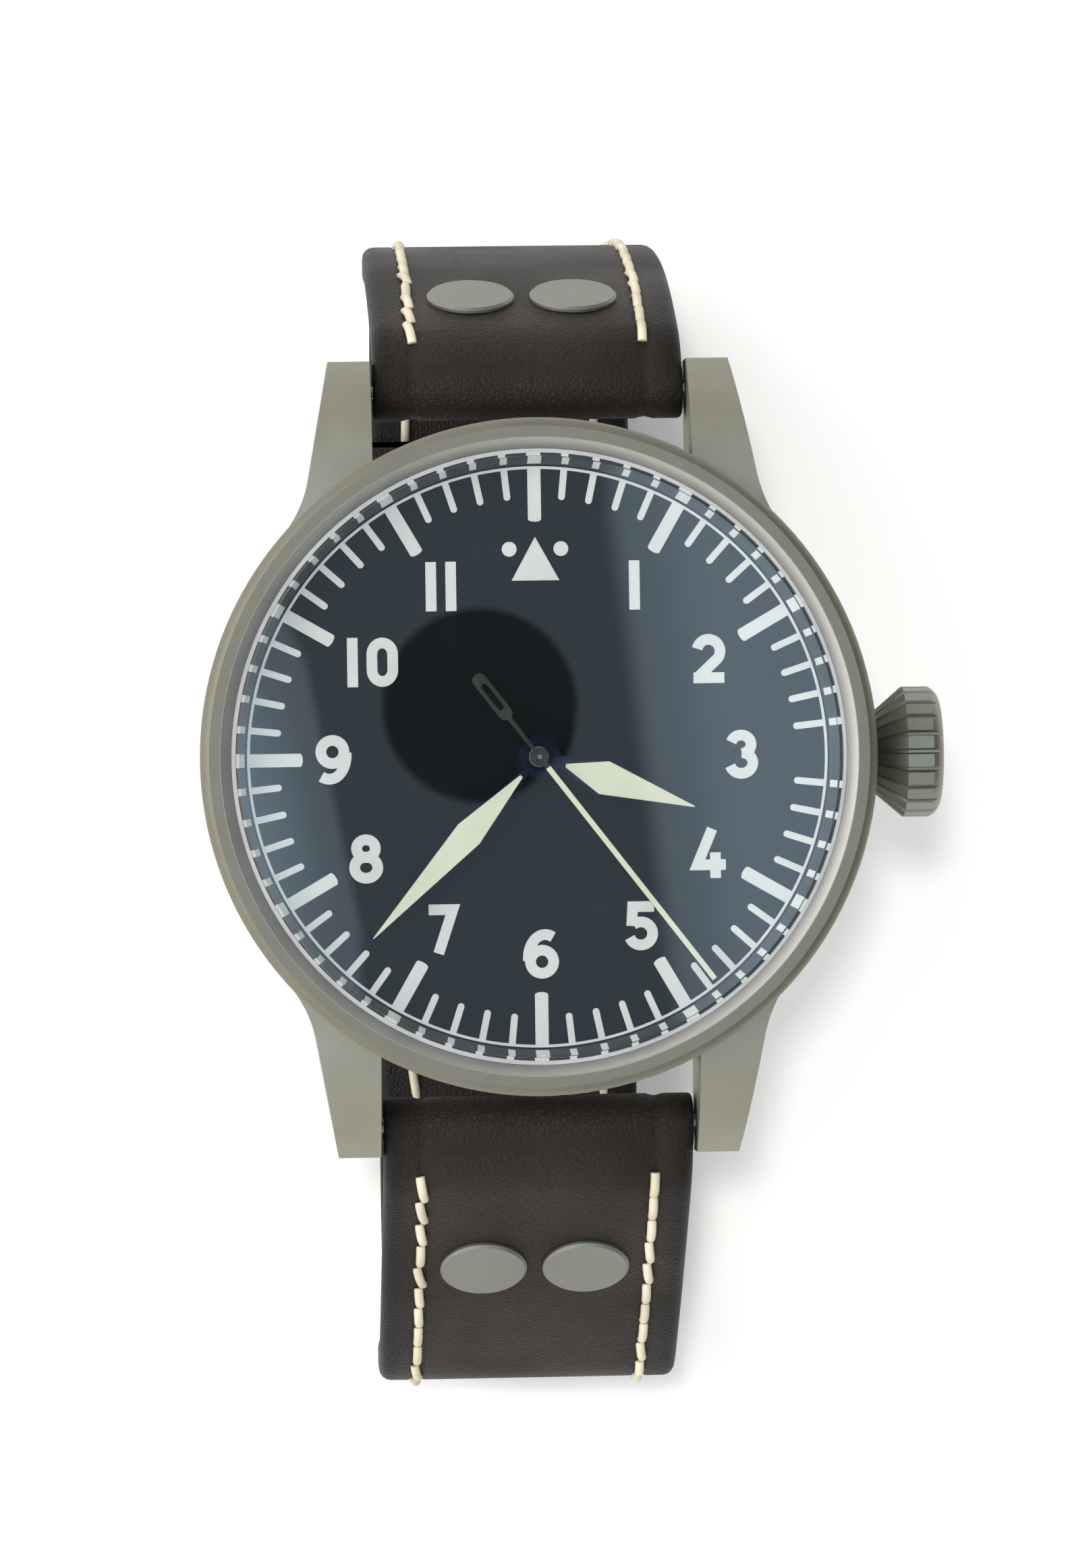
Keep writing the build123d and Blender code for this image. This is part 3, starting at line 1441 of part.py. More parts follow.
bar_half = lug_gap / 2 - bar_end_gap
for node, y in (("strap_bar_12", bar_y), ("strap_bar_6", -bar_y)):
    sprung_bar(
        node,
        y,
        bar_z,
        bar_half,
        bar_radius,
        bar_stem_radius,
        bar_pivot_radius,
        bar_end_gap + bar_pivot_reach,
    )
arm_inner = strap_low_width / 2 + buckle_side_gap
sprung_bar(
    "buckle_bar",
    buckle_y,
    buckle_z,
    arm_inner - buckle_bar_gap,
    buckle_bar_radius,
    buckle_stem_radius,
    buckle_pivot_radius,
    buckle_bar_gap + bar_pivot_reach,
)


def arcs_end(start_angle, arcs):
    """Where a strap's outer edge is after some arcs, each a radius and the angle it ends at."""
    angle = radians(start_angle)
    y, z = bar_y + fold_radius * sin(angle), bar_z + fold_radius * cos(angle)
    for radius, end_angle in arcs:
        end = radians(end_angle)
        y += radius * (sin(end) - sin(angle))
        z -= radius * (cos(angle) - cos(end))
        angle = end
    return y, z


def fitting_radius(start_angle, bend, end_angle, reach):
    """The radius of the arc that follows a bend and ends at an angle and at a distance in Y."""
    y, _ = arcs_end(start_angle, (bend,))
    return (reach - y) / (sin(radians(end_angle)) - sin(radians(bend[1])))


front_bend = (front_bend_radius, front_bend_end)
front_side = fitting_radius(front_start_angle, front_bend, 90, front_extreme)
front_arcs = (front_bend, (front_side, 90))
front_corner = arcs_end(front_start_angle, front_arcs)[1] - front_flat_z

rear_bend = (rear_bend_radius, rear_bend_end)
rear_turn_start = rear_extreme - rear_turn_radius * (1 - sin(radians(rear_slope_end)))
rear_slope = fitting_radius(rear_start_angle, rear_bend, rear_slope_end, rear_turn_start)
rear_arcs = (rear_bend, (rear_slope, rear_slope_end), (rear_turn_radius, 90))
rear_wall_length = arcs_end(rear_start_angle, rear_arcs)[1] - rear_flat_z - rear_corner
corner_y = front_extreme - front_corner
step_angle = degrees(acos(1 - tail_step / (2 * tail_step_radius)))
step_length = 2 * tail_step_radius * sin(radians(step_angle))


def loop_edge(start_angle, arcs, wall_length, corner, inset):
    """Draw one edge of a strap half from its bar down round the lower corner."""
    angle = radians(start_angle)
    first = (bar_y + (fold_radius - inset) * sin(angle), bar_z + (fold_radius - inset) * cos(angle))
    point, tangent = first, (cos(angle), -sin(angle))
    for radius, end_angle in arcs:
        edge = JernArc(point, tangent, radius - inset, start_angle - end_angle)
        point, tangent, start_angle = edge @ 1, edge % 1, end_angle
    if wall_length:
        edge = Line(point, point - (0, wall_length))
        point = edge @ 1
    last = JernArc(point, tangent, corner - inset, -90)
    return first, last @ 1


def tail_edge(start, inset):
    """Draw one edge of the tail: a flat run, a step down, and the turn round the front corner."""
    step_y = -(buckle_y - tail_start_gap - step_length)
    Line(start, (step_y, start.Y))
    down = JernArc((step_y, start.Y), (-1, 0), tail_step_radius + inset, step_angle)
    level = JernArc(down @ 1, down % 1, tail_step_radius - inset, -step_angle)
    Line(level @ 1, (-corner_y, (level @ 1).Y))
    wrap = JernArc(
        (-corner_y, (level @ 1).Y),
        (-1, 0),
        front_corner + soft_gap + strap_thick - inset,
        -tail_wrap_angle,
    )
    return wrap @ 1


def taper_face():
    """The strap's outline seen from the front, narrower low down."""
    with BuildSketch(Plane.XZ) as face:
        Polygon(
            (-strap_top_width / 2, bar_z + fold_radius + over),
            (-strap_top_width / 2, bar_z + fold_radius),
            (-strap_low_width / 2, front_flat_z + strap_thick),
            (-strap_low_width / 2, loop_bottom),
            (strap_low_width / 2, loop_bottom),
            (strap_low_width / 2, front_flat_z + strap_thick),
            (strap_top_width / 2, bar_z + fold_radius),
            (strap_top_width / 2, bar_z + fold_radius + over),
            align=None,
        )
    return face.sketch


def rivet_planes(side_sign, start_angle, bend, radius, slope):
    """Planes for a pair of rivets on the arc after a bend, their Z pointing outwards."""
    lean = radians(slope)
    y, z = arcs_end(start_angle, (bend, (radius, slope)))
    return [
        Plane(
            origin=(x, side_sign * y, z),
            x_dir=(1, 0, 0),
            z_dir=(0, side_sign * sin(lean), cos(lean)),
        )
        for x in (-rivet_spacing / 2, rivet_spacing / 2)
    ]


front_rivets = rivet_planes(1, front_start_angle, front_bend, front_side, front_rivet_angle)
rear_rivets = rivet_planes(-1, rear_start_angle, rear_bend, rear_slope, rear_rivet_angle)

# Strap half at 12: from the lugs down to the buckle bar
with BuildPart() as strap_12:
    with BuildSketch(Plane.YZ):
        with BuildLine():
            outer_start, outer_end = loop_edge(front_start_angle, front_arcs, 0, front_corner, 0)
            inner_start, inner_end = loop_edge(
                front_start_angle, front_arcs, 0, front_corner, strap_thick
            )
            Line(outer_start, inner_start)
            Line(outer_end, (buckle_y, outer_end.Y))
            Line((buckle_y, outer_end.Y), (buckle_y, inner_end.Y))
            Line((buckle_y, inner_end.Y), inner_end)
        make_face()
        with Locations((bar_y, bar_z)):
            Circle(fold_radius)
            Circle(bar_radius + fold_hole_gap, mode=Mode.SUBTRACT)
        with Locations((buckle_y, buckle_z)):
            Circle(strap_thick / 2)
            Circle(buckle_bar_radius + fold_hole_gap, mode=Mode.SUBTRACT)
    extrude(amount=strap_top_width, both=True)
    extrude(taper_face(), amount=rear_extreme + over, both=True, mode=Mode.INTERSECT)
    with Locations((0, buckle_y, buckle_z)):
        Box(
            tongue_width + 2 * tongue_slot_gap,
            2 * (tongue_eye_radius + buckle_side_gap),
            2 * strap_thick,
            mode=Mode.SUBTRACT,
        )
    with Locations(*front_rivets):
        Cylinder(
            rivet_shank_radius + fold_hole_gap, 2 * strap_thick + over, mode=Mode.SUBTRACT
        )
write(strap_12, "strap_12")

# Strap half at 6: from the lugs round under the wrist, with the tail that runs through the buckle
rear_plane = Plane(origin=(0, 0, 0), x_dir=(0, -1, 0), z_dir=(-1, 0, 0))
with BuildPart() as strap_6:
    with BuildSketch(rear_plane):
        with BuildLine():
            outer_start, outer_end = loop_edge(
                rear_start_angle, rear_arcs, rear_wall_length, rear_corner, 0
            )
            inner_start, inner_end = loop_edge(
                rear_start_angle, rear_arcs, rear_wall_length, rear_corner, strap_thick
            )
            Line(outer_start, inner_start)
            outer_tip = tail_edge(outer_end, 0)
            inner_tip = tail_edge(inner_end, strap_thick)
            Line(outer_tip, inner_tip)
        make_face()
        with Locations((bar_y, bar_z)):
            Circle(fold_radius)
            Circle(bar_radius + fold_hole_gap, mode=Mode.SUBTRACT)
    extrude(amount=strap_top_width, both=True)
    extrude(taper_face(), amount=rear_extreme + over, both=True, mode=Mode.INTERSECT)
    with Locations((0, (tail_hole_start + tail_hole_end) / 2, rear_flat_z)):
        Box(
            tongue_width + 2 * tongue_slot_gap,
            tail_hole_end - tail_hole_start,
            3 * strap_thick,
            mode=Mode.SUBTRACT,
        )
    with Locations(*rear_rivets):
        Cylinder(
            rivet_shank_radius + fold_hole_gap, 2 * strap_thick + over, mode=Mode.SUBTRACT
        )
write(strap_6, "strap_6")

# Rivets: a flat head outside, a shank and a washer inside, all four in one node
with BuildPart() as strap_rivets:
    for rivet_plane in front_rivets + rear_rivets:
        with BuildSketch(rivet_plane):
            Circle(rivet_radius)
        extrude(amount=rivet_head - rivet_edge)
        with BuildSketch(rivet_plane.offset(rivet_head - rivet_edge)):
            Circle(rivet_radius)
        with BuildSketch(rivet_plane.offset(rivet_head)):
            Circle(rivet_radius - rivet_edge)
        loft()
        with BuildSketch(rivet_plane):
            Circle(rivet_shank_radius)
        extrude(amount=-strap_thick - soft_gap)
        with BuildSketch(rivet_plane.offset(-strap_thick - soft_gap)):
            Circle(washer_radius)
        extrude(amount=-washer_thick)
write(strap_rivets, "strap_rivets")

# Two keepers round both layers of the strap
keeper_z = loop_bottom + keeper_wall + soft_gap + strap_thick + soft_gap / 2
for node, y in (("fixed_keeper", fixed_keeper_y), ("free_keeper", free_keeper_y)):
    with BuildPart() as keeper:
        with BuildSketch(Plane.XZ.offset(-y)):
            with Locations((0, keeper_z)):
                RectangleRounded(
                    strap_low_width + 2 * (keeper_side_gap + keeper_wall),
                    2 * (strap_thick + keeper_wall) + 3 * soft_gap,
                    keeper_round,
                )
                RectangleRounded(
                    strap_low_width + 2 * keeper_side_gap,
                    2 * strap_thick + 3 * soft_gap,
                    keeper_inner_round,
                    mode=Mode.SUBTRACT,
                )
        extrude(amount=keeper_length / 2, both=True)
    write(keeper, node)

# Buckle: two arms on the bar's pivots, joined by the front bar, and the tongue on the bar
front_bar_z = rear_flat_z - soft_gap - buckle_front_radius
arm_outer = arm_inner + buckle_arm_width
with BuildPart() as buckle_frame:
    for x in (-arm_outer, arm_inner):
        with BuildSketch(Plane.YZ.offset(x)):
            with Locations((buckle_y, buckle_z)):
                Circle(buckle_arm_round)
            with Locations((buckle_front_y, front_bar_z)):
                Circle(buckle_front_radius)
            make_hull()
        extrude(amount=buckle_arm_width)
    extrude(round_face(-arm_outer, buckle_front_radius, buckle_front_y, front_bar_z), amount=2 * arm_outer)
    hole_reach = arm_inner + bar_pivot_reach + soft_gap
    extrude(
        round_face(-hole_reach, buckle_pivot_radius + bar_hole_gap, buckle_y, buckle_z),
        amount=2 * hole_reach,
        mode=Mode.SUBTRACT,
    )
write(buckle_frame, "buckle_frame")

tongue_z = front_bar_z - buckle_front_radius - seat_gap - tongue_thick / 2
tongue_points = ((buckle_y, buckle_z), (tongue_bend_y, tongue_z), (tongue_tip_y, tongue_z))
with BuildPart() as buckle_tongue:
    for start, end in zip(tongue_points, tongue_points[1:]):
        with BuildSketch(Plane.YZ.offset(-tongue_width / 2)):
            with Locations(start, end):
                Circle(tongue_thick / 2)
            make_hull()
        extrude(amount=tongue_width)
    extrude(round_face(-tongue_width / 2, tongue_eye_radius, buckle_y, buckle_z), amount=tongue_width)
    extrude(
        round_face(-tongue_width / 2, buckle_bar_radius + fold_hole_gap, buckle_y, buckle_z),
        amount=tongue_width,
        mode=Mode.SUBTRACT,
    )
write(buckle_tongue, "buckle_tongue")
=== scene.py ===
# %% [markdown]
# This lesson dresses a pilot watch. The CAD model is the fixed frame: every metal piece is
# already in it, to the right size. Here the pieces get their finishes, and what is soft,
# printed or sewn is made round them.

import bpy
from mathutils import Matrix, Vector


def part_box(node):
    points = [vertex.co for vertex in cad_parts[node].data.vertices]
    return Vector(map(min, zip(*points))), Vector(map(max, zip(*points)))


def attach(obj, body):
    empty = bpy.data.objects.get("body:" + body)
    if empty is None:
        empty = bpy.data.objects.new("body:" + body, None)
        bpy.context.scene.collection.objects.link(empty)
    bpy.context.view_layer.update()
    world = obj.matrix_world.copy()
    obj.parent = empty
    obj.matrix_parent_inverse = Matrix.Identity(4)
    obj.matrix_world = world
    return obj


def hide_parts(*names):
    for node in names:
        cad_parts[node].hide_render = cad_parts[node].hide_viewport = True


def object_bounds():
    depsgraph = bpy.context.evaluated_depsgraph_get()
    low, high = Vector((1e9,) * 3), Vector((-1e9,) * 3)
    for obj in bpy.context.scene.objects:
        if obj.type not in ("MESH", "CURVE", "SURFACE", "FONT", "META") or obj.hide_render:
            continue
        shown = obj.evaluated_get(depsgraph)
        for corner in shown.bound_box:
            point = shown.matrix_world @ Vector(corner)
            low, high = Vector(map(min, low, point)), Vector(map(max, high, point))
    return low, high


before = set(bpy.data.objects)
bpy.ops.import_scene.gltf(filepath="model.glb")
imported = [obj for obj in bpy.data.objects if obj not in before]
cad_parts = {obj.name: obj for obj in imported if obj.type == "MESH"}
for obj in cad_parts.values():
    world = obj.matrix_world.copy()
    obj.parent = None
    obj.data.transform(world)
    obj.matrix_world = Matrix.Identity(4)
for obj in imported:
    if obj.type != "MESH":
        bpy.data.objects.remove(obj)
cad_low, cad_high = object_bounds()
print("pieces in the frame:", len(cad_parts))

# %% Tools and units
from math import atan2, cos, pi, radians, sin, sqrt

import bmesh
import bpy
from mathutils import Matrix, Vector

MM = 0.001
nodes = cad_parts
scene = bpy.context.scene
scene.view_settings.view_transform = "Standard"

# %% [markdown]
# The photographer held the camera almost straight above the dial, a few degrees to its left,
# so the lower parts of the strap drift to the left in the picture. The camera is placed from
# that angle, the distance, and how many millimetres the picture's height covers.

# %% Camera
VIEW_DISTANCE = 380.0
VIEW_LEFT = 2.9
VIEW_ROLL = 0.85
VIEW_HEIGHT = 96.85
AIM = Vector((-0.36, -1.4, 11.9))
SENSOR = 36.0

camera = bpy.data.objects.new("camera", bpy.data.cameras.new("camera"))
scene.collection.objects.link(camera)
back = Vector((-sin(radians(VIEW_LEFT)), 0, cos(radians(VIEW_LEFT))))
camera.location = (AIM + back * VIEW_DISTANCE) * MM
turn = Matrix.Rotation(radians(-VIEW_ROLL), 4, "Z") @ Matrix.Rotation(radians(-VIEW_LEFT), 4, "Y")
camera.rotation_euler = turn.to_euler()
camera.data.sensor_width = SENSOR
camera.data.lens = SENSOR * VIEW_DISTANCE / VIEW_HEIGHT
camera.data.clip_start = 0.01
camera.data.clip_end = 20.0
scene.camera = camera
print("lens:", round(camera.data.lens, 1), "mm")

# %% [markdown]
# A node tree is easier to read when one short helper adds a node, sets it up and links it.
# A second one makes a group with named inputs and outputs, for an effect or a pattern that
# is used more than once.


# %% Node helpers
def add_node(tree, kind, inputs=None, **settings):
    made = tree.nodes.new(kind)
    for key, value in settings.items():
        setattr(made, key, value)
    for key, value in (inputs or {}).items():
        if isinstance(value, bpy.types.NodeSocket):
            tree.links.new(value, made.inputs[key])
        else:
            made.inputs[key].default_value = value
    return made


def new_group(name, kind, inputs, outputs):
    tree = bpy.data.node_groups.new(name, kind)
    for label, socket, value in inputs:
        made = tree.interface.new_socket(label, in_out="INPUT", socket_type=socket)
        if value is not None:
            made.default_value = value
    for label, socket in outputs:
        tree.interface.new_socket(label, in_out="OUTPUT", socket_type=socket)
    return tree, tree.nodes.new("NodeGroupInput").outputs, tree.nodes.new("NodeGroupOutput").inputs


def maths(tree, operation, first, second=0.0):
    return add_node(tree, "ShaderNodeMath", {0: first, 1: second}, operation=operation).outputs[0]


def ramp(tree, value, start, end, low=0.0, high=1.0, **settings):
    """A number that goes from low to high while a value goes from start to end."""
    ends = {"Value": value, "From Min": start, "From Max": end, "To Min": low, "To Max": high}
    return add_node(tree, "ShaderNodeMapRange", ends, **settings).outputs[0]


def noise(tree, vector, scale, detail):
    values = {"Vector": vector, "Scale": scale, "Detail": detail}
    return add_node(tree, "ShaderNodeTexNoise", values).outputs


FLOAT = "NodeSocketFloat"

# %% [markdown]
# The studio is a pale floor under the watch, a soft grey room, one large lamp at the upper
# left, a small strong one almost overhead for the close shadow, and a weak fill from the
# right. The crystal mirrors what is straight above it: a dim ceiling, the round dark shape of
# the camera, and a bright window on either side. These are painted into the room's light by
# direction, and give the dial its soft zones.

# %% Floor
FLOOR_REACH = 3.0
FLOOR_GAP = 0.02
FLOOR_GLOW = 0.05

floor_mesh = bpy.data.meshes.new("floor")
floor_z = cad_low.z - FLOOR_GAP * MM
corners = [(x * FLOOR_REACH, y * FLOOR_REACH, floor_z) for x, y in ((-1, -1), (1, -1), (1, 1), (-1, 1))]
floor_mesh.from_pydata(corners, [], [(0, 1, 2, 3)])
floor = bpy.data.objects.new("floor", floor_mesh)
scene.collection.objects.link(floor)


def floor_material():
    """A matt floor with a little glow of its own, which only the camera and mirrors see."""
    material = bpy.data.materials.new("pale_floor")
    material.use_nodes = True
    tree = material.node_tree
    tree.nodes.clear()
    path = add_node(tree, "ShaderNodeLightPath").outputs
    seen = maths(tree, "MAXIMUM", path["Is Camera Ray"], path["Is Glossy Ray"])
    seen = maths(tree, "MAXIMUM", seen, path["Is Transmission Ray"])
    lit = add_node(tree, "ShaderNodeBsdfDiffuse", {"Color": (0.82, 0.80, 0.78, 1)})
    glow = add_node(
        tree, "ShaderNodeEmission",
        {"Color": (1, 0.97, 0.94, 1), "Strength": maths(tree, "MULTIPLY", seen, FLOOR_GLOW)},
    )
    both = add_node(tree, "ShaderNodeAddShader", {0: lit.outputs[0], 1: glow.outputs[0]})
    add_node(tree, "ShaderNodeOutputMaterial", {"Surface": both.outputs[0]})
    return material


floor_mesh.materials.append(floor_material())

# %% Room
world = bpy.data.worlds.new("room")
scene.world = world
world.use_nodes = True
room = world.node_tree
room.nodes.clear()
direction = add_node(room, "ShaderNodeTexCoord").outputs["Generated"]
towards = add_node(room, "ShaderNodeSeparateXYZ", {0: direction}).outputs
right = maths(room, "DIVIDE", towards["X"], towards["Z"])
up = maths(room, "DIVIDE", towards["Y"], towards["Z"])


def soft_step(value, start, end, low, high):
    return ramp(room, value, start, end, low, high, interpolation_type="SMOOTHSTEP")


def disc_of_dark(centre, radius, edge):
    """One outside a round patch of the ceiling and nought inside it."""
    across = maths(room, "SUBTRACT", right, centre[0])
    along = maths(room, "SUBTRACT", up, centre[1])
    squares = maths(room, "ADD", maths(room, "POWER", across, 2.0), maths(room, "POWER", along, 2.0))
    return soft_step(maths(room, "SQRT", squares), radius - edge, radius + edge, 0.0, 1.0)


# Brightness of the walls, of the ceiling, and of each window at its near edge and far off.
# Places on the ceiling are slopes: how far sideways for each step up.
WALLS = 0.86
WALLS_LEAN = (-0.80, -0.15, 0.0)
CEILING = 0.42
WINDOW_RIGHT_EDGE, WINDOW_RIGHT = 1.25, 1.68
WINDOW_LEFT_EDGE, WINDOW_LEFT = 1.05, 2.4
RIGHT_SLANT, LEFT_SLANT = 0.118, 0.19
CAMERA_PLACE, CAMERA_RADIUS, CAMERA_BLUR = (0.0095, 0.040), 0.068, 0.004

right_line = maths(room, "ADD", right, maths(room, "MULTIPLY", up, RIGHT_SLANT))
left_line = maths(room, "ADD", right, maths(room, "MULTIPLY", up, LEFT_SLANT))
ceiling = maths(room, "MULTIPLY", disc_of_dark(CAMERA_PLACE, CAMERA_RADIUS, CAMERA_BLUR), CEILING)
for line, start, end, low, high in (
    (right_line, 0.114, 0.138, 0.0, WINDOW_RIGHT_EDGE - CEILING),
    (right_line, 0.138, 0.190, 0.0, WINDOW_RIGHT - WINDOW_RIGHT_EDGE),
    (left_line, -0.104, -0.093, WINDOW_LEFT_EDGE - CEILING, 0.0),
    (left_line, -0.168, -0.104, WINDOW_LEFT - WINDOW_LEFT_EDGE, 0.0),
):
    ceiling = maths(room, "ADD", ceiling, soft_step(line, start, end, low, high))
overhead = soft_step(towards["Z"], 0.86, 0.95, 0.0, 1.0)
lean = add_node(room, "ShaderNodeVectorMath", {0: direction, 1: WALLS_LEAN}, operation="DOT_PRODUCT")
walls = maths(room, "ADD", lean.outputs["Value"], WALLS)
strength = add_node(
    room, "ShaderNodeMix", {"Factor": overhead, "A": walls, "B": ceiling}, data_type="FLOAT"
)
tint = add_node(room, "ShaderNodeMix", {"Factor": overhead}, data_type="RGBA")
tint.inputs["A"].default_value = (1.0, 0.98, 0.93, 1)
tint.inputs["B"].default_value = (0.74, 0.98, 1.20, 1)
light = add_node(
    room, "ShaderNodeBackground", {"Color": tint.outputs["Result"], "Strength": strength.outputs["Result"]}
)
add_node(room, "ShaderNodeOutputWorld", {"Surface": light.outputs[0]})


# %% Lamps
def panel(name, place, size, radiance, colour=(1, 1, 1)):
    """A flat lamp that looks at the watch; place and size in millimetres."""
    data = bpy.data.lights.new(name, "AREA")
    data.shape = "RECTANGLE"
    data.size, data.size_y = size[0] * MM, size[1] * MM
    data.energy = radiance * pi * data.size * data.size_y
    data.color = colour
    lamp = bpy.data.objects.new(name, data)
    lamp.location = Vector(place) * MM
    lamp.rotation_euler = (-lamp.location).to_track_quat("-Z", "Y").to_euler()
    scene.collection.objects.link(lamp)
    return lamp


panel("key_lamp", (-560, 190, 640), (520, 520), 3.0)
overhead_lamp = panel("overhead_lamp", (-66, 58, 760), (45, 45), 380.0)
overhead_lamp.visible_glossy = False
fill = panel("fill_panel", (300, -120, 600), (420, 620), 0.6, (0.97, 0.98, 1.0))
fill.visible_glossy = False

# %% [markdown]
# Two effects are shared by the finishes: the grain of metal and paint, with fine bumps and a
# slow cloudy change of tone, and the grain of leather. Each is a group that reads a vector
# and puts out numbers, so that every material keeps its own shader.


# %% Shared effects
def blast_grain():
    tree, given, result = new_group(
        "blast_grain", "ShaderNodeTree",
        [("Vector", "NodeSocketVector", None), ("Size", FLOAT, 0.08), ("Contrast", FLOAT, 1.0)],
        [("Height", FLOAT), ("Tone", FLOAT)],
    )
    scale = maths(tree, "DIVIDE", 1000.0, given["Size"])
    fine = noise(tree, given["Vector"], scale, 2.0)
    slow = noise(tree, given["Vector"], 260.0, 3.0)
    centred = maths(tree, "SUBTRACT", slow["Fac"], 0.5)
    tree.links.new(fine["Fac"], result["Height"])
    tree.links.new(maths(tree, "MULTIPLY", centred, given["Contrast"]), result["Tone"])
    return tree


def leather_grain():
    tree, given, result = new_group(
        "leather_grain", "ShaderNodeTree",
        [("Vector", "NodeSocketVector", None), ("Pebble", FLOAT, 0.5)],
        [("Height", FLOAT), ("Pores", FLOAT), ("Tone", FLOAT)],
    )
    scale = maths(tree, "DIVIDE", 10.0, given["Pebble"])
    bend = noise(tree, given["Vector"], 9.0, 2.0)
    moved = add_node(tree, "ShaderNodeVectorMath", {0: bend["Color"], 3: 0.05}, operation="SCALE")
    place = add_node(
        tree, "ShaderNodeVectorMath", {0: given["Vector"], 1: moved.outputs[0]}, operation="ADD"
    )
    cells = add_node(
        tree, "ShaderNodeTexVoronoi", {"Vector": place.outputs[0], "Scale": scale},
        feature="DISTANCE_TO_EDGE",
    )
    crease = ramp(tree, cells.outputs["Distance"], 0.0, 0.22)
    fine = noise(tree, given["Vector"], 60.0, 4.0)
    slow = noise(tree, given["Vector"], 1.1, 3.0)
    rough = maths(tree, "MULTIPLY", fine["Fac"], 0.45)
    tree.links.new(maths(tree, "ADD", crease, rough), result["Height"])
    tree.links.new(crease, result["Pores"])
    tree.links.new(slow["Fac"], result["Tone"])
    return tree


BLAST = blast_grain()
LEATHER = leather_grain()


# %% Material helpers
def use_group(tree, group, inputs):
    return add_node(tree, "ShaderNodeGroup", inputs, node_tree=group).outputs


def new_material(name, **values):
    material = bpy.data.materials.new(name)
    material.use_nodes = True
    tree = material.node_tree
    shader = tree.nodes["Principled BSDF"]
    for key, value in values.items():
        shader.inputs[key.replace("_", " ")].default_value = value
    return material, tree, shader


def object_vector(tree):
    return add_node(tree, "ShaderNodeTexCoord").outputs["Object"]


def radius_from_dial(tree):
    place = add_node(
        tree, "ShaderNodeVectorMath", {0: object_vector(tree), 1: (1, 1, 0)}, operation="MULTIPLY"
    )
    flat = add_node(tree, "ShaderNodeVectorMath", {0: place.outputs[0]}, operation="LENGTH")
    return flat.outputs["Value"]


def two_tones(tree, factor, dark, light):
    made = add_node(tree, "ShaderNodeMix", {"Factor": factor}, data_type="RGBA")
    made.inputs["A"].default_value = (*dark, 1)
    made.inputs["B"].default_value = (*light, 1)
    return made.outputs["Result"]


# %% [markdown]
# The case, bezel, crown, rivets and buckle are bead-blasted steel: no mirror at all, a warm
# grey, and a grain so fine that it only softens the light. The bezel's inner edge is painted
# much lighter, a painted highlight for the bright reflection round the crystal's edge. A mask
# by distance from the dial's axis tells the two apart on one piece, and the brass fourth wheel
# from its steel arbor in the same way.


# %% Metals
def grained_metal(name, dark, light, rough, grain=0.08, bump=0.02, metallic=1.0):
    """A metal with a fine grain, slow changes of tone and a little change of roughness."""
    material, tree, shader = new_material(name, Metallic=metallic)
    effect = use_group(tree, BLAST, {"Vector": object_vector(tree), "Size": grain, "Contrast": 1.0})
    tone = ramp(tree, effect["Tone"], -0.2, 0.2)
    tree.links.new(two_tones(tree, tone, dark, light), shader.inputs["Base Color"])
    spread = maths(tree, "MULTIPLY_ADD", effect["Tone"], 0.2)
    spread.node.inputs[2].default_value = rough
    tree.links.new(spread, shader.inputs["Roughness"])
    rise = add_node(
        tree, "ShaderNodeBump", {"Height": effect["Height"], "Strength": 0.35, "Distance": bump * MM}
    )
    tree.links.new(rise.outputs["Normal"], shader.inputs["Normal"])
    return material


def inner_tone(material, radius, soft, tone):
    """Give a metal another tone nearer the dial's axis than a radius in millimetres."""
    tree = material.node_tree
    shader = tree.nodes["Principled BSDF"]
    near = ramp(tree, radius_from_dial(tree), (radius - soft) * MM, (radius + soft) * MM, 1.0, 0.0)
    mixed = add_node(tree, "ShaderNodeMix", {"Factor": near}, data_type="RGBA")
    tree.links.new(shader.inputs["Base Color"].links[0].from_socket, mixed.inputs["A"])
    mixed.inputs["B"].default_value = (*tone, 1)
    tree.links.new(mixed.outputs["Result"], shader.inputs["Base Color"])


BEZEL_HIGHLIGHT_RADIUS = 19.75
ARBOR_RADIUS = 0.6
CASE_STEEL = grained_metal("case_steel", (0.325, 0.318, 0.262), (0.375, 0.368, 0.308), 0.55)
BEZEL_STEEL = grained_metal("bezel_steel", (0.225, 0.214, 0.170), (0.258, 0.246, 0.198), 0.60)
# Painted highlight: the bezel's inner edge is much lighter than its steel, for the bright reflection round
# the crystal's edge.
inner_tone(BEZEL_STEEL, BEZEL_HIGHLIGHT_RADIUS, 0.05, (0.62, 0.60, 0.57))
CROWN_STEEL = grained_metal("crown_steel", (0.235, 0.230, 0.195), (0.290, 0.285, 0.245), 0.48)
RIVET_STEEL = grained_metal("rivet_steel", (0.235, 0.232, 0.208), (0.280, 0.277, 0.250), 0.55)
BUCKLE_STEEL = grained_metal("buckle_steel", (0.300, 0.295, 0.265), (0.350, 0.345, 0.310), 0.45)
BAR_STEEL = grained_metal("bar_steel", (0.42, 0.42, 0.42), (0.50, 0.50, 0.50), 0.32)
WORK_STEEL = grained_metal("work_steel", (0.52, 0.52, 0.53), (0.62, 0.62, 0.63), 0.22)
PLATED = grained_metal("plated_steel", (0.50, 0.48, 0.44), (0.60, 0.58, 0.53), 0.30)
BRASS = grained_metal("wheel_brass", (0.62, 0.44, 0.17), (0.72, 0.53, 0.24), 0.28)
ARBOR_BRASS = grained_metal("brass_on_steel_arbor", (0.62, 0.44, 0.17), (0.72, 0.53, 0.24), 0.28)
inner_tone(ARBOR_BRASS, ARBOR_RADIUS, 0.02, (0.16, 0.145, 0.14))
print("metals:", len(bpy.data.materials))

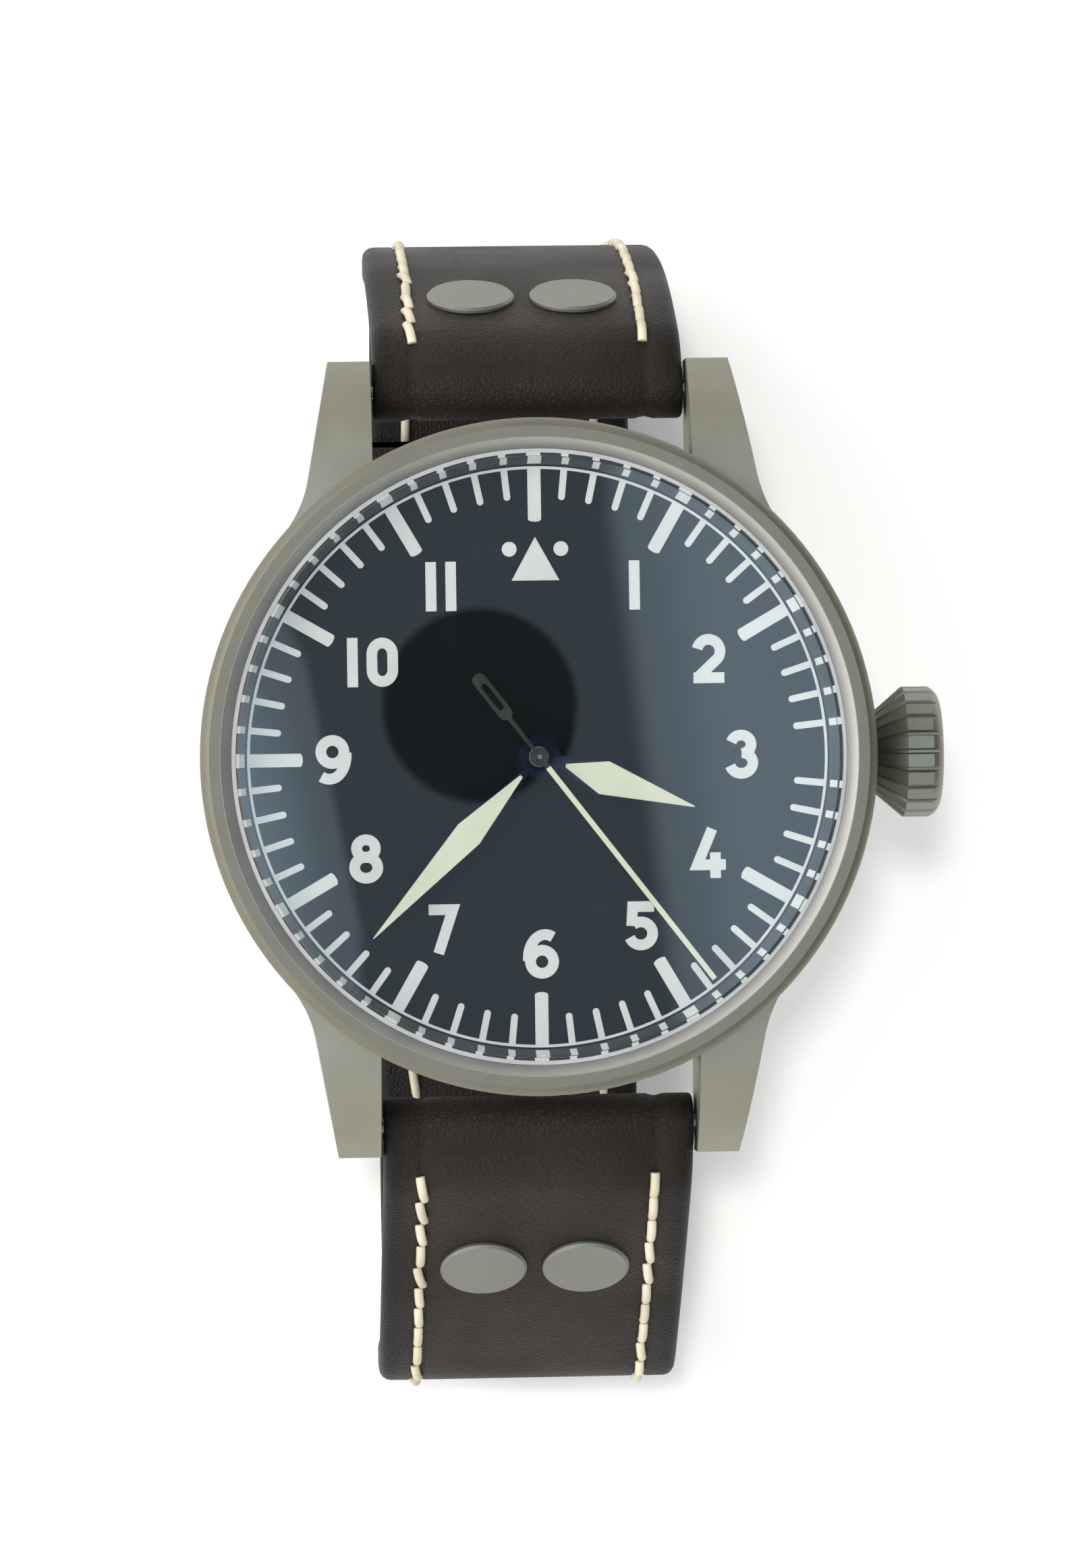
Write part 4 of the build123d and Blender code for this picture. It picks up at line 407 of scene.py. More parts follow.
# %% [markdown]
# The dial is deep navy, nearly black, with a velvety matt paint. The marks are a thick pale
# print. The hour and minute hands are blued steel, the seconds hand is painted dark, and all
# three are filled with cream paint. Each is a plain shader with a fine unevenness, because at
# this size only the tone and the edge of a print show.


# %% Paints, rubber and glass
def paint(name, dark, light, rough, size=0.05, bump=0.004, shine=0.5):
    material = grained_metal(name, dark, light, rough, grain=size, bump=bump, metallic=0.0)
    material.node_tree.nodes["Principled BSDF"].inputs["Specular IOR Level"].default_value = shine
    return material


DIAL_PAINT = paint(
    "dial_paint", (0.0050, 0.0058, 0.0060), (0.0066, 0.0078, 0.0080), 0.75, bump=0.0, shine=0.04
)
# The sloping ring is dark paint lightened to grey with a coarse lighter and darker mottle: a painted
# reflection of what the ring mirrors.
FLANGE_PAINT_AND_REFLECTION = paint(
    "flange_paint_and_reflection", (0.026, 0.031, 0.032), (0.052, 0.060, 0.062), 0.60, size=0.30, shine=0.3
)
PRINT = paint("pale_print", (0.46, 0.44, 0.40), (0.52, 0.50, 0.455), 0.60, shine=0.3)
# Painted reflection: the bright marks on the sloping ring stand for the dial's marks mirrored in it.
FLANGE_REFLECTION_PAINT = paint("painted_tick_reflection", (0.62, 0.61, 0.57), (0.70, 0.69, 0.64), 0.60, shine=0.3)
LUME = paint("cream_paint", (0.46, 0.445, 0.32), (0.52, 0.50, 0.365), 0.65, size=0.12, shine=0.3)
HAND_PAINT = paint("dark_hand_paint", (0.012, 0.013, 0.012), (0.018, 0.019, 0.018), 0.60, shine=0.2)
NYLON = paint("pale_nylon", (0.31, 0.31, 0.31), (0.37, 0.37, 0.37), 0.50)
RUBBER = paint("gasket_rubber", (0.012, 0.012, 0.012), (0.020, 0.020, 0.020), 0.65)
BLUED = grained_metal("blued_steel", (0.006, 0.008, 0.013), (0.009, 0.012, 0.019), 0.38, bump=0.004)
GLASS_TINT, GLASS_IOR = (0.97, 0.985, 1.0, 1), 1.48


def crystal_glass():
    """Clear glass, coated inside so that only its top mirrors the room; lamps light the dial."""
    material, tree, shader = new_material(
        "crystal_glass", Base_Color=GLASS_TINT, Roughness=0.0, IOR=GLASS_IOR, Transmission_Weight=1.0,
        Coat_Weight=1.0, Coat_Roughness=0.0,
    )
    inside = add_node(tree, "ShaderNodeNewGeometry").outputs["Backfacing"]
    coated = add_node(
        tree, "ShaderNodeBsdfRefraction", {"Color": GLASS_TINT, "Roughness": 0.0, "IOR": GLASS_IOR}
    )
    glass = add_node(tree, "ShaderNodeMixShader", {0: inside, 1: shader.outputs[0], 2: coated.outputs[0]})
    path = add_node(tree, "ShaderNodeLightPath").outputs
    passing = maths(tree, "MAXIMUM", path["Is Shadow Ray"], path["Is Diffuse Ray"])
    clear = add_node(tree, "ShaderNodeBsdfTransparent", {"Color": (0.95, 0.97, 0.98, 1)})
    both = add_node(tree, "ShaderNodeMixShader", {0: passing, 1: glass.outputs[0], 2: clear.outputs[0]})
    tree.links.new(both.outputs[0], tree.nodes["Material Output"].inputs["Surface"])
    return material


CRYSTAL = crystal_glass()

# %% Finishes on the CAD pieces
FINISHES = {
    CASE_STEEL: ["case_body", "case_back"],
    BEZEL_STEEL: ["bezel"],
    CROWN_STEEL: ["crown"],
    RIVET_STEEL: ["strap_rivets"],
    BUCKLE_STEEL: ["buckle_frame", "buckle_tongue"],
    CRYSTAL: ["crystal"],
    NYLON: ["crystal_gasket"],
    RUBBER: ["case_back_gasket", "crown_gasket"],
    DIAL_PAINT: ["dial"],
    FLANGE_PAINT_AND_REFLECTION: ["dial_flange"],
    BLUED: ["hour_hand", "minute_hand"],
    HAND_PAINT: ["seconds_hand"],
    PLATED: ["main_plate", "barrel_bridge", "train_bridge", "pallet_bridge", "balance_cock", "case_clamps",
             "movement_ring", "rotor"],
    ARBOR_BRASS: ["fourth_wheel"],
    BRASS: ["barrel", "barrel_cover", "centre_wheel", "third_wheel", "escape_wheel",
            "minute_wheel", "hour_wheel", "setting_wheel", "balance_wheel"],
}


def finish_of(node):
    """The listed finish, or else bar steel for the sprung bars and work steel for the rest."""
    for material, names in FINISHES.items():
        if node in names:
            return material
    return BAR_STEEL if "bar" in node.split("_") else WORK_STEEL


for name, piece in nodes.items():
    piece.data.materials.clear()
    piece.data.materials.append(finish_of(name))
print("dressed", len(nodes), "CAD pieces")

# %% [markdown]
# A small piece is easiest as a list of corners and faces in millimetres. This helper turns
# one into a mesh object, merges what is double, points the faces outwards, and says which
# body it rides on.


# %% Piece helper
MERGE_WITHIN = 0.0005


def cleaned(mesh, merge=True):
    """Merge what is double in a mesh and point its faces outwards."""
    work = bmesh.new()
    work.from_mesh(mesh)
    if merge:
        bmesh.ops.remove_doubles(work, verts=work.verts, dist=MERGE_WITHIN * MM)
    bmesh.ops.recalc_face_normals(work, faces=work.faces)
    work.to_mesh(mesh)
    work.free()


def new_piece(name, corners, faces, material, body, slot, smooth=False, uvs=None, merge=True):
    mesh = bpy.data.meshes.new(name)
    mesh.from_pydata([Vector(c) * MM for c in corners], [], faces)
    if uvs:
        layer = mesh.uv_layers.new(name="UVMap")
        for loop in mesh.loops:
            layer.data[loop.index].uv = uvs[loop.vertex_index]
    cleaned(mesh, merge)
    mesh.polygons.foreach_set("use_smooth", [smooth] * len(mesh.polygons))
    mesh.materials.append(material)
    piece = bpy.data.objects.new(name, mesh)
    scene.collection.objects.link(piece)
    if body:
        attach(piece, body)
    return piece


def slab(outline, low, high):
    """Corners and faces of a flat outline raised from one height to another."""
    count = len(outline)
    corners = [(x, y, low) for x, y in outline] + [(x, y, high) for x, y in outline]
    faces = [tuple(range(count)), tuple(range(count, 2 * count))]
    for i in range(count):
        j = (i + 1) % count
        faces.append((i, j, count + j, count + i))
    return corners, faces


def joined(parts):
    """Several corner and face lists as one."""
    corners, faces = [], []
    for some_corners, some_faces in parts:
        shift = len(corners)
        corners += some_corners
        faces += [tuple(i + shift for i in face) for face in some_faces]
    return corners, faces


# %% [markdown]
# The printed scale repeats one bar round a ring. Geometry Nodes put a small bar on every
# point of it and turn it to face the centre. One tree makes the minute marks and the hour
# marks in their sizes. The points count from 0 at 3 o'clock, and those that the input Leave
# Out Every divides stay bare: with 5 the minutes leave room for the hours. With 61 only
# point 0 stays bare, so the hours lack their mark at 3 o'clock, which the real watch has.


# %% Ring of marks
def ring_of_marks():
    tree, given, result = new_group(
        "ring_of_marks", "GeometryNodeTree",
        [("Geometry", "NodeSocketGeometry", None), ("Count", "NodeSocketInt", 60),
         ("Radius", FLOAT, 0.01), ("Length", FLOAT, 0.001), ("Width", FLOAT, 0.0004),
         ("Thickness", FLOAT, 0.00003), ("Height", FLOAT, 0.0), ("Tilt", FLOAT, 0.0),
         ("End Scale", "NodeSocketVector", (1.0, 1.0, 1.0)), ("Leave Out Every", "NodeSocketInt", 5),
         ("Material", "NodeSocketMaterial", None)],
        [("Geometry", "NodeSocketGeometry")],
    )
    ring = add_node(
        tree, "GeometryNodeMeshCircle", {"Vertices": given["Count"], "Radius": given["Radius"]}
    )
    lift = add_node(tree, "ShaderNodeCombineXYZ", {"Z": given["Height"]})
    raised = add_node(
        tree, "GeometryNodeTransform", {"Geometry": ring.outputs[0], "Translation": lift.outputs[0]}
    )
    size = add_node(
        tree, "ShaderNodeCombineXYZ", {"X": given["Length"], "Y": given["Width"], "Z": given["Thickness"]}
    )
    bar = add_node(tree, "GeometryNodeMeshCube", {"Size": size.outputs[0]})
    half_width = maths(tree, "MULTIPLY", given["Width"], 0.5)
    end = add_node(
        tree, "GeometryNodeMeshCylinder",
        {"Vertices": 20, "Radius": half_width, "Depth": maths(tree, "MULTIPLY", given["Thickness"], 1.02)},
    )
    inner = maths(tree, "MULTIPLY", given["Length"], -0.5)
    shift = add_node(tree, "ShaderNodeCombineXYZ", {"X": inner})
    rounded = add_node(
        tree, "GeometryNodeTransform",
        {"Geometry": end.outputs[0], "Translation": shift.outputs[0], "Scale": given["End Scale"]},
    )
    mark = add_node(tree, "GeometryNodeJoinGeometry")
    tree.links.new(bar.outputs[0], mark.inputs[0])
    tree.links.new(rounded.outputs[0], mark.inputs[0])
    index = add_node(tree, "GeometryNodeInputIndex")
    turn = maths(tree, "DIVIDE", index.outputs[0], given["Count"])
    angle = maths(tree, "MULTIPLY", turn, 2 * pi)
    tilt = add_node(tree, "ShaderNodeCombineXYZ", {"Y": given["Tilt"], "Z": angle})
    rest = add_node(
        tree, "FunctionNodeIntegerMath", {0: index.outputs[0], 1: given["Leave Out Every"]},
        operation="MODULO",
    )
    chosen = add_node(
        tree, "FunctionNodeCompare", {2: rest.outputs[0], 3: 0}, data_type="INT", operation="NOT_EQUAL"
    )
    placed = add_node(
        tree, "GeometryNodeInstanceOnPoints",
        {"Points": raised.outputs[0], "Selection": chosen.outputs[0], "Instance": mark.outputs[0],
         "Rotation": tilt.outputs[0]},
    )
    solid = add_node(tree, "GeometryNodeRealizeInstances", {0: placed.outputs[0]})
    painted = add_node(
        tree, "GeometryNodeSetMaterial", {"Geometry": solid.outputs[0], "Material": given["Material"]}
    )
    tree.links.new(painted.outputs[0], result["Geometry"])
    return tree


def grown(tree, name, values, material, body, source=None):
    """Run a Geometry Nodes tree on a source mesh and keep the result as a plain mesh."""
    base = bpy.data.objects.new(name + "_base", source or bpy.data.meshes.new(name + "_base"))
    scene.collection.objects.link(base)
    modifier = base.modifiers.new("grow", "NODES")
    modifier.node_group = tree
    for item in tree.interface.items_tree:
        if item.in_out == "INPUT" and item.name in values:
            modifier[item.identifier] = values[item.name]
        if item.in_out == "INPUT" and item.name == "Material":
            modifier[item.identifier] = material
    bpy.context.view_layer.update()
    shape = base.evaluated_get(bpy.context.evaluated_depsgraph_get())
    mesh = bpy.data.meshes.new_from_object(shape)
    mesh.name = name
    bpy.data.objects.remove(base)
    piece = bpy.data.objects.new(name, mesh)
    scene.collection.objects.link(piece)
    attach(piece, body)
    print(name, "faces:", len(mesh.polygons))
    return piece


# %% Printed scale
dial_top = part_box("dial")[1].z
PRINT_THICK = 0.03
TRACK_RADIUS = 17.9
FIFTHS_LEFT_OUT, FIRST_LEFT_OUT = 5, 61
MARKS = ring_of_marks()
for label, count, length, width, end, every in (
    ("minute_marks", 60, 1.75, 0.42, 1.0, FIFTHS_LEFT_OUT),
    ("hour_marks", 12, 3.2, 0.82, 0.4, FIRST_LEFT_OUT),
):
    grown(
        MARKS, label,
        {"Count": count, "Radius": (TRACK_RADIUS - length / 2) * MM,
         "Length": length * MM, "Width": width * MM, "Thickness": PRINT_THICK * MM,
         "Height": dial_top + PRINT_THICK / 2 * MM, "End Scale": (end, 1.0, 1.0), "Leave Out Every": every},
        PRINT, "watch",
    )

# %% [markdown]
# The rest of the print is drawn with strokes: each number is a few lines and arcs of one
# width, as a sign painter would make it. A stroke becomes a thin raised band with mitred
# corners. Bands of one number differ in height by a hair, so no two faces fall together.


# %% Stroke helper
def unit(x, y):
    size = sqrt(x * x + y * y)
    return x / size, y / size


def stroke(points, width, low, high, closed=False):
    """A flat band of one width along a line of points."""
    count = len(points)
    corners, faces = [], []
    for i, (x, y) in enumerate(points):
        before = points[i - 1] if i or closed else None
        after = points[(i + 1) % count] if i < count - 1 or closed else None
        arriving = unit(x - before[0], y - before[1]) if before else None
        leaving = unit(after[0] - x, after[1] - y) if after else arriving
        arriving = arriving or leaving
        side = unit(-arriving[1] - leaving[1], arriving[0] + leaving[0])
        reach = width / 2 / (-side[0] * arriving[1] + side[1] * arriving[0])
        left = x + side[0] * reach, y + side[1] * reach
        right = x - side[0] * reach, y - side[1] * reach
        corners += [(*left, low), (*right, low), (*right, high), (*left, high)]
    for i in range(count if closed else count - 1):
        a, b = 4 * i, 4 * ((i + 1) % count)
        for j in range(4):
            k = (j + 1) % 4
            faces.append((a + j, b + j, b + k, a + k))
    if not closed:
        faces += [(0, 1, 2, 3), (4 * count - 4, 4 * count - 3, 4 * count - 2, 4 * count - 1)]
    return corners, faces


def arc(centre, radii, start, end, steps=14):
    """Points of an elliptical arc, its angles in degrees from the right, anticlockwise."""
    turns = [radians(start + (end - start) * i / steps) for i in range(steps + 1)]
    return [(centre[0] + radii[0] * cos(t), centre[1] + radii[1] * sin(t)) for t in turns]


# %% Numbers
SHORT_BAR = [[(0, 0), (0, 1)]]
ZERO = [arc((0, 0.66), (0.21, 0.23), 0, 180) + arc((0, 0.34), (0.21, 0.23), 180, 360)]
TWO = [arc((-0.005, 0.65), (0.235, 0.24), 168, -38) + [(-0.22, 0.13)], [(-0.32, 0.11), (0.31, 0.11)]]
THREE = [arc((-0.01, 0.70), (0.205, 0.19), 165, -85), arc((-0.01, 0.325), (0.235, 0.215), 85, -165)]
FOUR = [[(0.07, 1.0), (-0.24, 0.27), (0.34, 0.27)], [(0.13, 0), (0.13, 0.52)]]
FIVE = [
    [(0.27, 0.89), (-0.165, 0.89), (-0.19, 0.50)],
    arc((-0.005, 0.345), (0.24, 0.235), 128, -160, 18),
]
SIX = [arc((0.02, 0.335), (0.235, 0.235), 0, 360, 24)[:-1],
       arc((0.087, 0.404), (0.345, 0.482), 186, 62, 14)]
SEVEN = [[(-0.29, 0.89), (0.20, 0.89), (-0.10, 0)]]
EIGHT = [arc((0, 0.71), (0.19, 0.18), 0, 360, 24)[:-1], arc((0, 0.325), (0.235, 0.215), 0, 360, 24)[:-1]]
NINE = [[(-x, 1 - y) for x, y in line] for line in SIX]

NUMBER_HEIGHT = 3.05
NUMBER_STROKE = 0.66
LEVEL_STEP = 0.004
PLACES = [
    (SHORT_BAR, 6.12, 10.54), (TWO, 10.67, 5.93), (THREE, 12.62, -0.02), (FOUR, 10.50, -6.13),
    (FIVE, 6.22, -10.54), (SIX, 0.0, -12.16), (SEVEN, -6.02, -10.54), (EIGHT, -10.72, -6.15),
    (NINE, -12.64, -0.02), (SHORT_BAR, -11.38, 5.98), (ZERO, -9.54, 5.98),
    (SHORT_BAR, -6.47, 10.60), (SHORT_BAR, -5.24, 10.60),
]
base_z = dial_top / MM
bands = []
for strokes, x, y in PLACES:
    for level, line in enumerate(strokes):
        place = [(x + NUMBER_HEIGHT * u, y + NUMBER_HEIGHT * (v - 0.5)) for u, v in line]
        ring = len(line) == 24 or strokes is ZERO
        top = base_z + PRINT_THICK + LEVEL_STEP * level
        bands.append(stroke(place, NUMBER_STROKE, base_z, top, ring))
new_piece("dial_numbers", *joined(bands), PRINT, "watch", "dial_paint", merge=False)
print("strokes in the numbers:", len(bands))


# %% Track line, triangle and dots
def dot(x, y, radius, low, high):
    return slab(arc((x, y), (radius, radius), 0, 360, 28)[:-1], low, high)


print_top = base_z + PRINT_THICK
track = arc((0, 0), (TRACK_RADIUS, TRACK_RADIUS), 0, 360, 180)[:-1]
signs = [
    stroke(track, 0.17, base_z, print_top + LEVEL_STEP, True),
    slab([(-1.48, 10.90), (1.48, 10.90), (0, 13.60)], base_z, print_top),
    dot(-1.60, 12.85, 0.46, base_z, print_top),
    dot(1.60, 12.85, 0.46, base_z, print_top),
]
new_piece("dial_signs", *joined(signs), PRINT, "watch", "dial_paint", merge=False)

# %% [markdown]
# The sloping ring round the dial mirrors the dial's marks: a dot for each minute and a block
# for each fifth one, but for the one at 3 o'clock. These are painted reflections, thin bright
# marks laid on the ring. The same tree makes them, tipped to the slope.

# %% Painted reflections on the sloping ring
RING_FOOT, RING_TOP = 18.1, 18.7
flange_low, flange_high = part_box("dial_flange")
slope = atan2((RING_TOP - RING_FOOT) * MM, flange_high.z - flange_low.z)
middle_z = (flange_low.z + flange_high.z) / 2
RING_REFLECTION_THICK = 0.05
# Painted reflection: these dots and blocks stand for the dial's marks mirrored in the ring.
for label, count, width, tall, every in (
    ("ring_reflection_dots", 60, 0.44, 1.15, FIFTHS_LEFT_OUT), ("ring_reflection_blocks", 12, 0.84, 1.40, FIRST_LEFT_OUT),
):
    grown(
        MARKS, label,
        {"Count": count, "Radius": (RING_FOOT + RING_TOP) / 2 * MM, "Length": RING_REFLECTION_THICK * MM,
         "Width": width * MM, "Thickness": tall * MM, "Height": middle_z, "Tilt": slope,
         "End Scale": (0.05, 0.5, 0.5), "Leave Out Every": every},
        FLANGE_REFLECTION_PAINT, "watch",
    )

# %% [markdown]
# Each hand is filled with cream paint inside a narrow dark edge. The fill is a shallow slab
# on the hand's face. One edge is drawn along the hand and mirrored, and the outline is turned
# to the clock angle it has in the model, so it moves with its hand's body.


# %% Cream fills of the hands
FILL_THICK, FILL_SUNK = 0.05, 0.02
HAND_FILLS = [
    ("hour", 108.5, [(1.75, -0.10), (4.25, -1.06), (10.15, -0.03)]),
    ("minute", 223.2, [(1.62, -0.10), (6.45, -0.89), (15.2, -0.03)]),
    ("seconds", 142.5, [(0.85, -0.165), (17.5, -0.165)]),
]


def turned(points, clock_angle):
    angle = radians(90 - clock_angle)
    return [(x * cos(angle) - y * sin(angle), x * sin(angle) + y * cos(angle)) for x, y in points]


for hand, clock_angle, edge in HAND_FILLS:
    outline = edge + [(x, -y) for x, y in edge[::-1]]
    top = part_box(hand + "_hand")[1].z / MM
    fill = slab(turned(outline, clock_angle), top - FILL_SUNK, top + FILL_THICK)
    new_piece(hand + "_fill", *fill, LUME, hand, "hand_paint")

# %% [markdown]
# Leather is not a cut block: its edges are rounded, a stitched line lies in a pressed groove,
# and a fold is thinner where it was skived. Both strap halves and both keepers are a section
# carried along a path of frames. A frame is a point on the outer face, the way inwards, the
# way across, half the width there and the thickness.


# %% Leather band
SECTION_ROUND = 0.75
STITCH_INSET = 2.42
INNER_GROOVE = 0.3


def band_section(half, thick, groove):
    """One side of the section, from the middle of the inner face round to the outer one."""
    round_size = min(SECTION_ROUND, 0.42 * thick, 0.42 * half)
    line = half - min(STITCH_INSET, 0.3 * half)
    points = [(0.0, thick, 0), (line * 0.5, thick, 0), (line, thick - INNER_GROOVE * groove, 0)]
    for centre, start in ((thick - round_size, 270), (round_size, 0)):
        for x, y in arc((half - round_size, 0), (round_size, round_size), start, start + 90, 4):
            points.append((x, centre - y, 1))
    for away, depth in ((0.55, 0.0), (0.28, 0.6), (0.0, 1.0), (-0.28, 0.6), (-0.55, 0.0)):
        points.append((line + away, depth * groove, 0))
    return points + [(line * 0.5, 0.0, 0), (0.0, 0.0, 0)]


def leather_band(frames, groove=0.0, closed=False):
    """Corners, faces, texture places and rim marks of a band of leather."""
    corners, faces, uvs, rims = [], [], [], []
    run = 0.0
    for i, (outer, inward, across, half, thick) in enumerate(frames):
        if i:
            run += (outer - frames[i - 1][0]).length
        right = band_section(half, thick, groove)
        section = right + [(-x, d, rim) for x, d, rim in right[-2::-1]]
        around = 0.0
        for j, (x, depth, rim) in enumerate(section):
            if j:
                around += sqrt((x - section[j - 1][0]) ** 2 + (depth - section[j - 1][1]) ** 2)
            corners.append(outer + across * x + inward * depth)
            uvs.append((run / 10, around / 10))
            rims.append(float(rim))
    size = len(section)
    rows = len(frames)
    for i in range(rows if closed else rows - 1):
        for j in range(size - 1):
            a, b = i * size + j, (i + 1) % rows * size + j
            faces.append((a, a + 1, b + 1, b))
    if not closed:
        faces += [tuple(range(size - 1)), tuple(range((rows - 1) * size, rows * size - 1))]
    return corners, faces, uvs, rims


# %% [markdown]
# A strap half is a walk of arcs, seen from the side. It starts as a fold round its spring bar
# and leaves it over the top. Each stretch gives a centre or a bend radius and the angle where
# it ends, as the CAD strap has them, and the walk notes the point on the outer face and the
# way outwards every millimetre or so.


# %% Walk along the strap
def fold_round(centre, radius, start, end, thick, step=9.0):
    """Frames of a fold round a bar: place, direction in degrees, thickness."""
    count = max(2, round((end - start) / step))
    walk = []
    for i in range(count + 1):
        angle = start + (end - start) * i / count
        out = (sin(radians(angle)), cos(radians(angle)))
        walk.append((centre[0] + radius * out[0], centre[1] + radius * out[1], angle, thick))
    return walk


def bend_on(walk, radius, angle_end, thick, step=0.8):
    """Carry a walk on by an arc. A negative radius bends it the other way."""
    y, z, angle, _ = walk[-1]
    centre = (y - radius * sin(radians(angle)), z - radius * cos(radians(angle)))
    count = max(2, round(abs(radius * radians(angle_end - angle)) / step))
    for i in range(1, count + 1):
        a = angle + (angle_end - angle) * i / count
        walk.append((centre[0] + radius * sin(radians(a)), centre[1] + radius * cos(radians(a)), a, thick))


def run_on(walk, length, thick, step=0.8):
    """Carry a walk straight on."""
    y, z, angle, _ = walk[-1]
    count = max(2, round(length / step))
    along = (cos(radians(angle)), -sin(radians(angle)))
    for i in range(1, count + 1):
        s = length * i / count
        walk.append((y + along[0] * s, z + along[1] * s, angle, thick))


BAR_Y, BAR_Z, FOLD, SKIVED = 23.2, 2.0, 1.8, 0.82
THICK, TOP_HALF, LOW_HALF = 2.6, 9.8, 9.0
BUCKLE_Y, BUCKLE_EYE_RADIUS = 10.0, 1.3
KEEPER_WALL, KEEPER_ROUND, KEEPER_GAP = 1.0, 1.2, 0.1
TAIL_Z = cad_low.z / MM + KEEPER_WALL + KEEPER_GAP
NEAR_BAR, BAR_CLEAR, LEAST_THICK, THINNING = 6, 1.0, 0.8, 0.05
TAPER_START_Z = -20.0
TAPER_END_Z = TAIL_Z + 2 * THICK + KEEPER_GAP


def to_frames(walk, side_sign, bar=None):
    """Turn a walk into frames. Inner points that would lie in the bar move out to its face."""
    frames = []
    for y, z, angle, thick in walk:
        out = Vector((0, side_sign * sin(radians(angle)), cos(radians(angle))))
        outer = Vector((0, side_sign * y, z))
        if bar and abs((outer - bar).dot(out)) < NEAR_BAR:
            while thick > LEAST_THICK and (outer - out * thick - bar).length < BAR_CLEAR:
                thick -= THINNING
        share = min(1.0, max(0.0, (TAPER_START_Z - z) / (TAPER_START_Z - TAPER_END_Z)))
        half = TOP_HALF + (LOW_HALF - TOP_HALF) * share * share * (3 - 2 * share)
        frames.append((outer, -out, Vector((1, 0, 0)), half, thick))
    return frames


# %% Strap half at 12
front_walk = fold_round((BAR_Y, BAR_Z), FOLD, 140, 372, SKIVED)
bend_on(front_walk, 6.0, 422, THICK)
bend_on(front_walk, 61.30, 450, THICK, 1.0)
bend_on(front_walk, 11.13, 540, THICK)
SLOT_HALF = 1.15
SLOT_START = 11.45
run_on(front_walk, front_walk[-1][0] - SLOT_START + 0.3, THICK)
front_frames = to_frames(front_walk, 1, Vector((0, BAR_Y, BAR_Z)))
eye_walk = [(SLOT_START, front_walk[-1][1], 540, THICK)]
run_on(eye_walk, SLOT_START - BUCKLE_Y, THICK)
bend_on(eye_walk, BUCKLE_EYE_RADIUS, 712, 0.6, 0.4)

# %% Strap half at 6, with its tail
rear_walk = fold_round((BAR_Y, BAR_Z), FOLD, 140, 368, SKIVED)
bend_on(rear_walk, 7.0, 410, THICK)
bend_on(rear_walk, 203.76, 415.77, THICK, 1.0)
bend_on(rear_walk, 6.0, 450, THICK)
run_on(rear_walk, 11.53, THICK, 1.0)
bend_on(rear_walk, 10.5, 540, THICK)
run_on(rear_walk, 31.65, THICK, 1.0)
bend_on(rear_walk, -10.0, 517.67, THICK)
bend_on(rear_walk, 10.0, 540, THICK)
run_on(rear_walk, 15.17, THICK)
bend_on(rear_walk, 13.83, 585, THICK, 0.5)
rear_frames = to_frames(rear_walk, -1, Vector((0, -BAR_Y, BAR_Z)))

TIP_LENGTH, TIP_BLUNT = 7.0, 0.45


def round_tip(frames):
    """Round the free end in plan, by narrowing the last frames along an ellipse."""
    away, made = 0.0, [frames[-1]]
    for near, far in zip(frames[-2::-1], frames[:0:-1]):
        away += (near[0] - far[0]).length
        narrow = sqrt(max(0.0, 1 - max(0.0, 1 - away / TIP_LENGTH) ** 2))
        made.append((*near[:3], near[3] * narrow, near[4]))
    made[0] = (*frames[-1][:3], made[1][3] * TIP_BLUNT, frames[-1][4])
    return made[::-1]


rear_frames = round_tip(rear_frames)
print("frames:", len(front_frames), len(rear_frames))


# %% Cut-outs of the straps
def cut_away(piece, cutter):
    modifier = piece.modifiers.new("cut", "BOOLEAN")
    modifier.operation = "DIFFERENCE"
    modifier.solver = "EXACT"
    modifier.object = cutter
    bpy.context.view_layer.update()
    shape = piece.evaluated_get(bpy.context.evaluated_depsgraph_get())
    mesh = bpy.data.meshes.new_from_object(shape)
    piece.modifiers.remove(modifier)
    piece.data = mesh
    bpy.data.objects.remove(cutter)


def block(low, high):
    outline = [(low[0], low[1]), (high[0], low[1]), (high[0], high[1]), (low[0], high[1])]
    return slab(outline, low[2], high[2])


def made_leather(name, frames, material, body, groove=0.0, closed=False, cuts=()):
    corners, faces, uvs, rims = leather_band(frames, groove, closed)
    piece = new_piece(name, corners, faces, material, None, None, smooth=True, uvs=uvs, merge=False)
    rim = piece.data.attributes.new("rim", "FLOAT", "POINT")
    rim.data.foreach_set("value", rims)
    cleaned(piece.data)
    if cuts:
        cutter = new_piece(name + "_cuts", *joined(cuts), material, None, None)
        cut_away(piece, cutter)
    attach(piece, body)
    print(name, "faces:", len(piece.data.polygons))
    return piece


# %% [markdown]
# The leather is a dark brown, close to black, with a pebbled grain, small pores and worn,
# slightly shinier high spots. Its cut edges are painted darker. The pattern reads the strap's
# own texture places, in centimetres along and round the band, so it follows every bend.


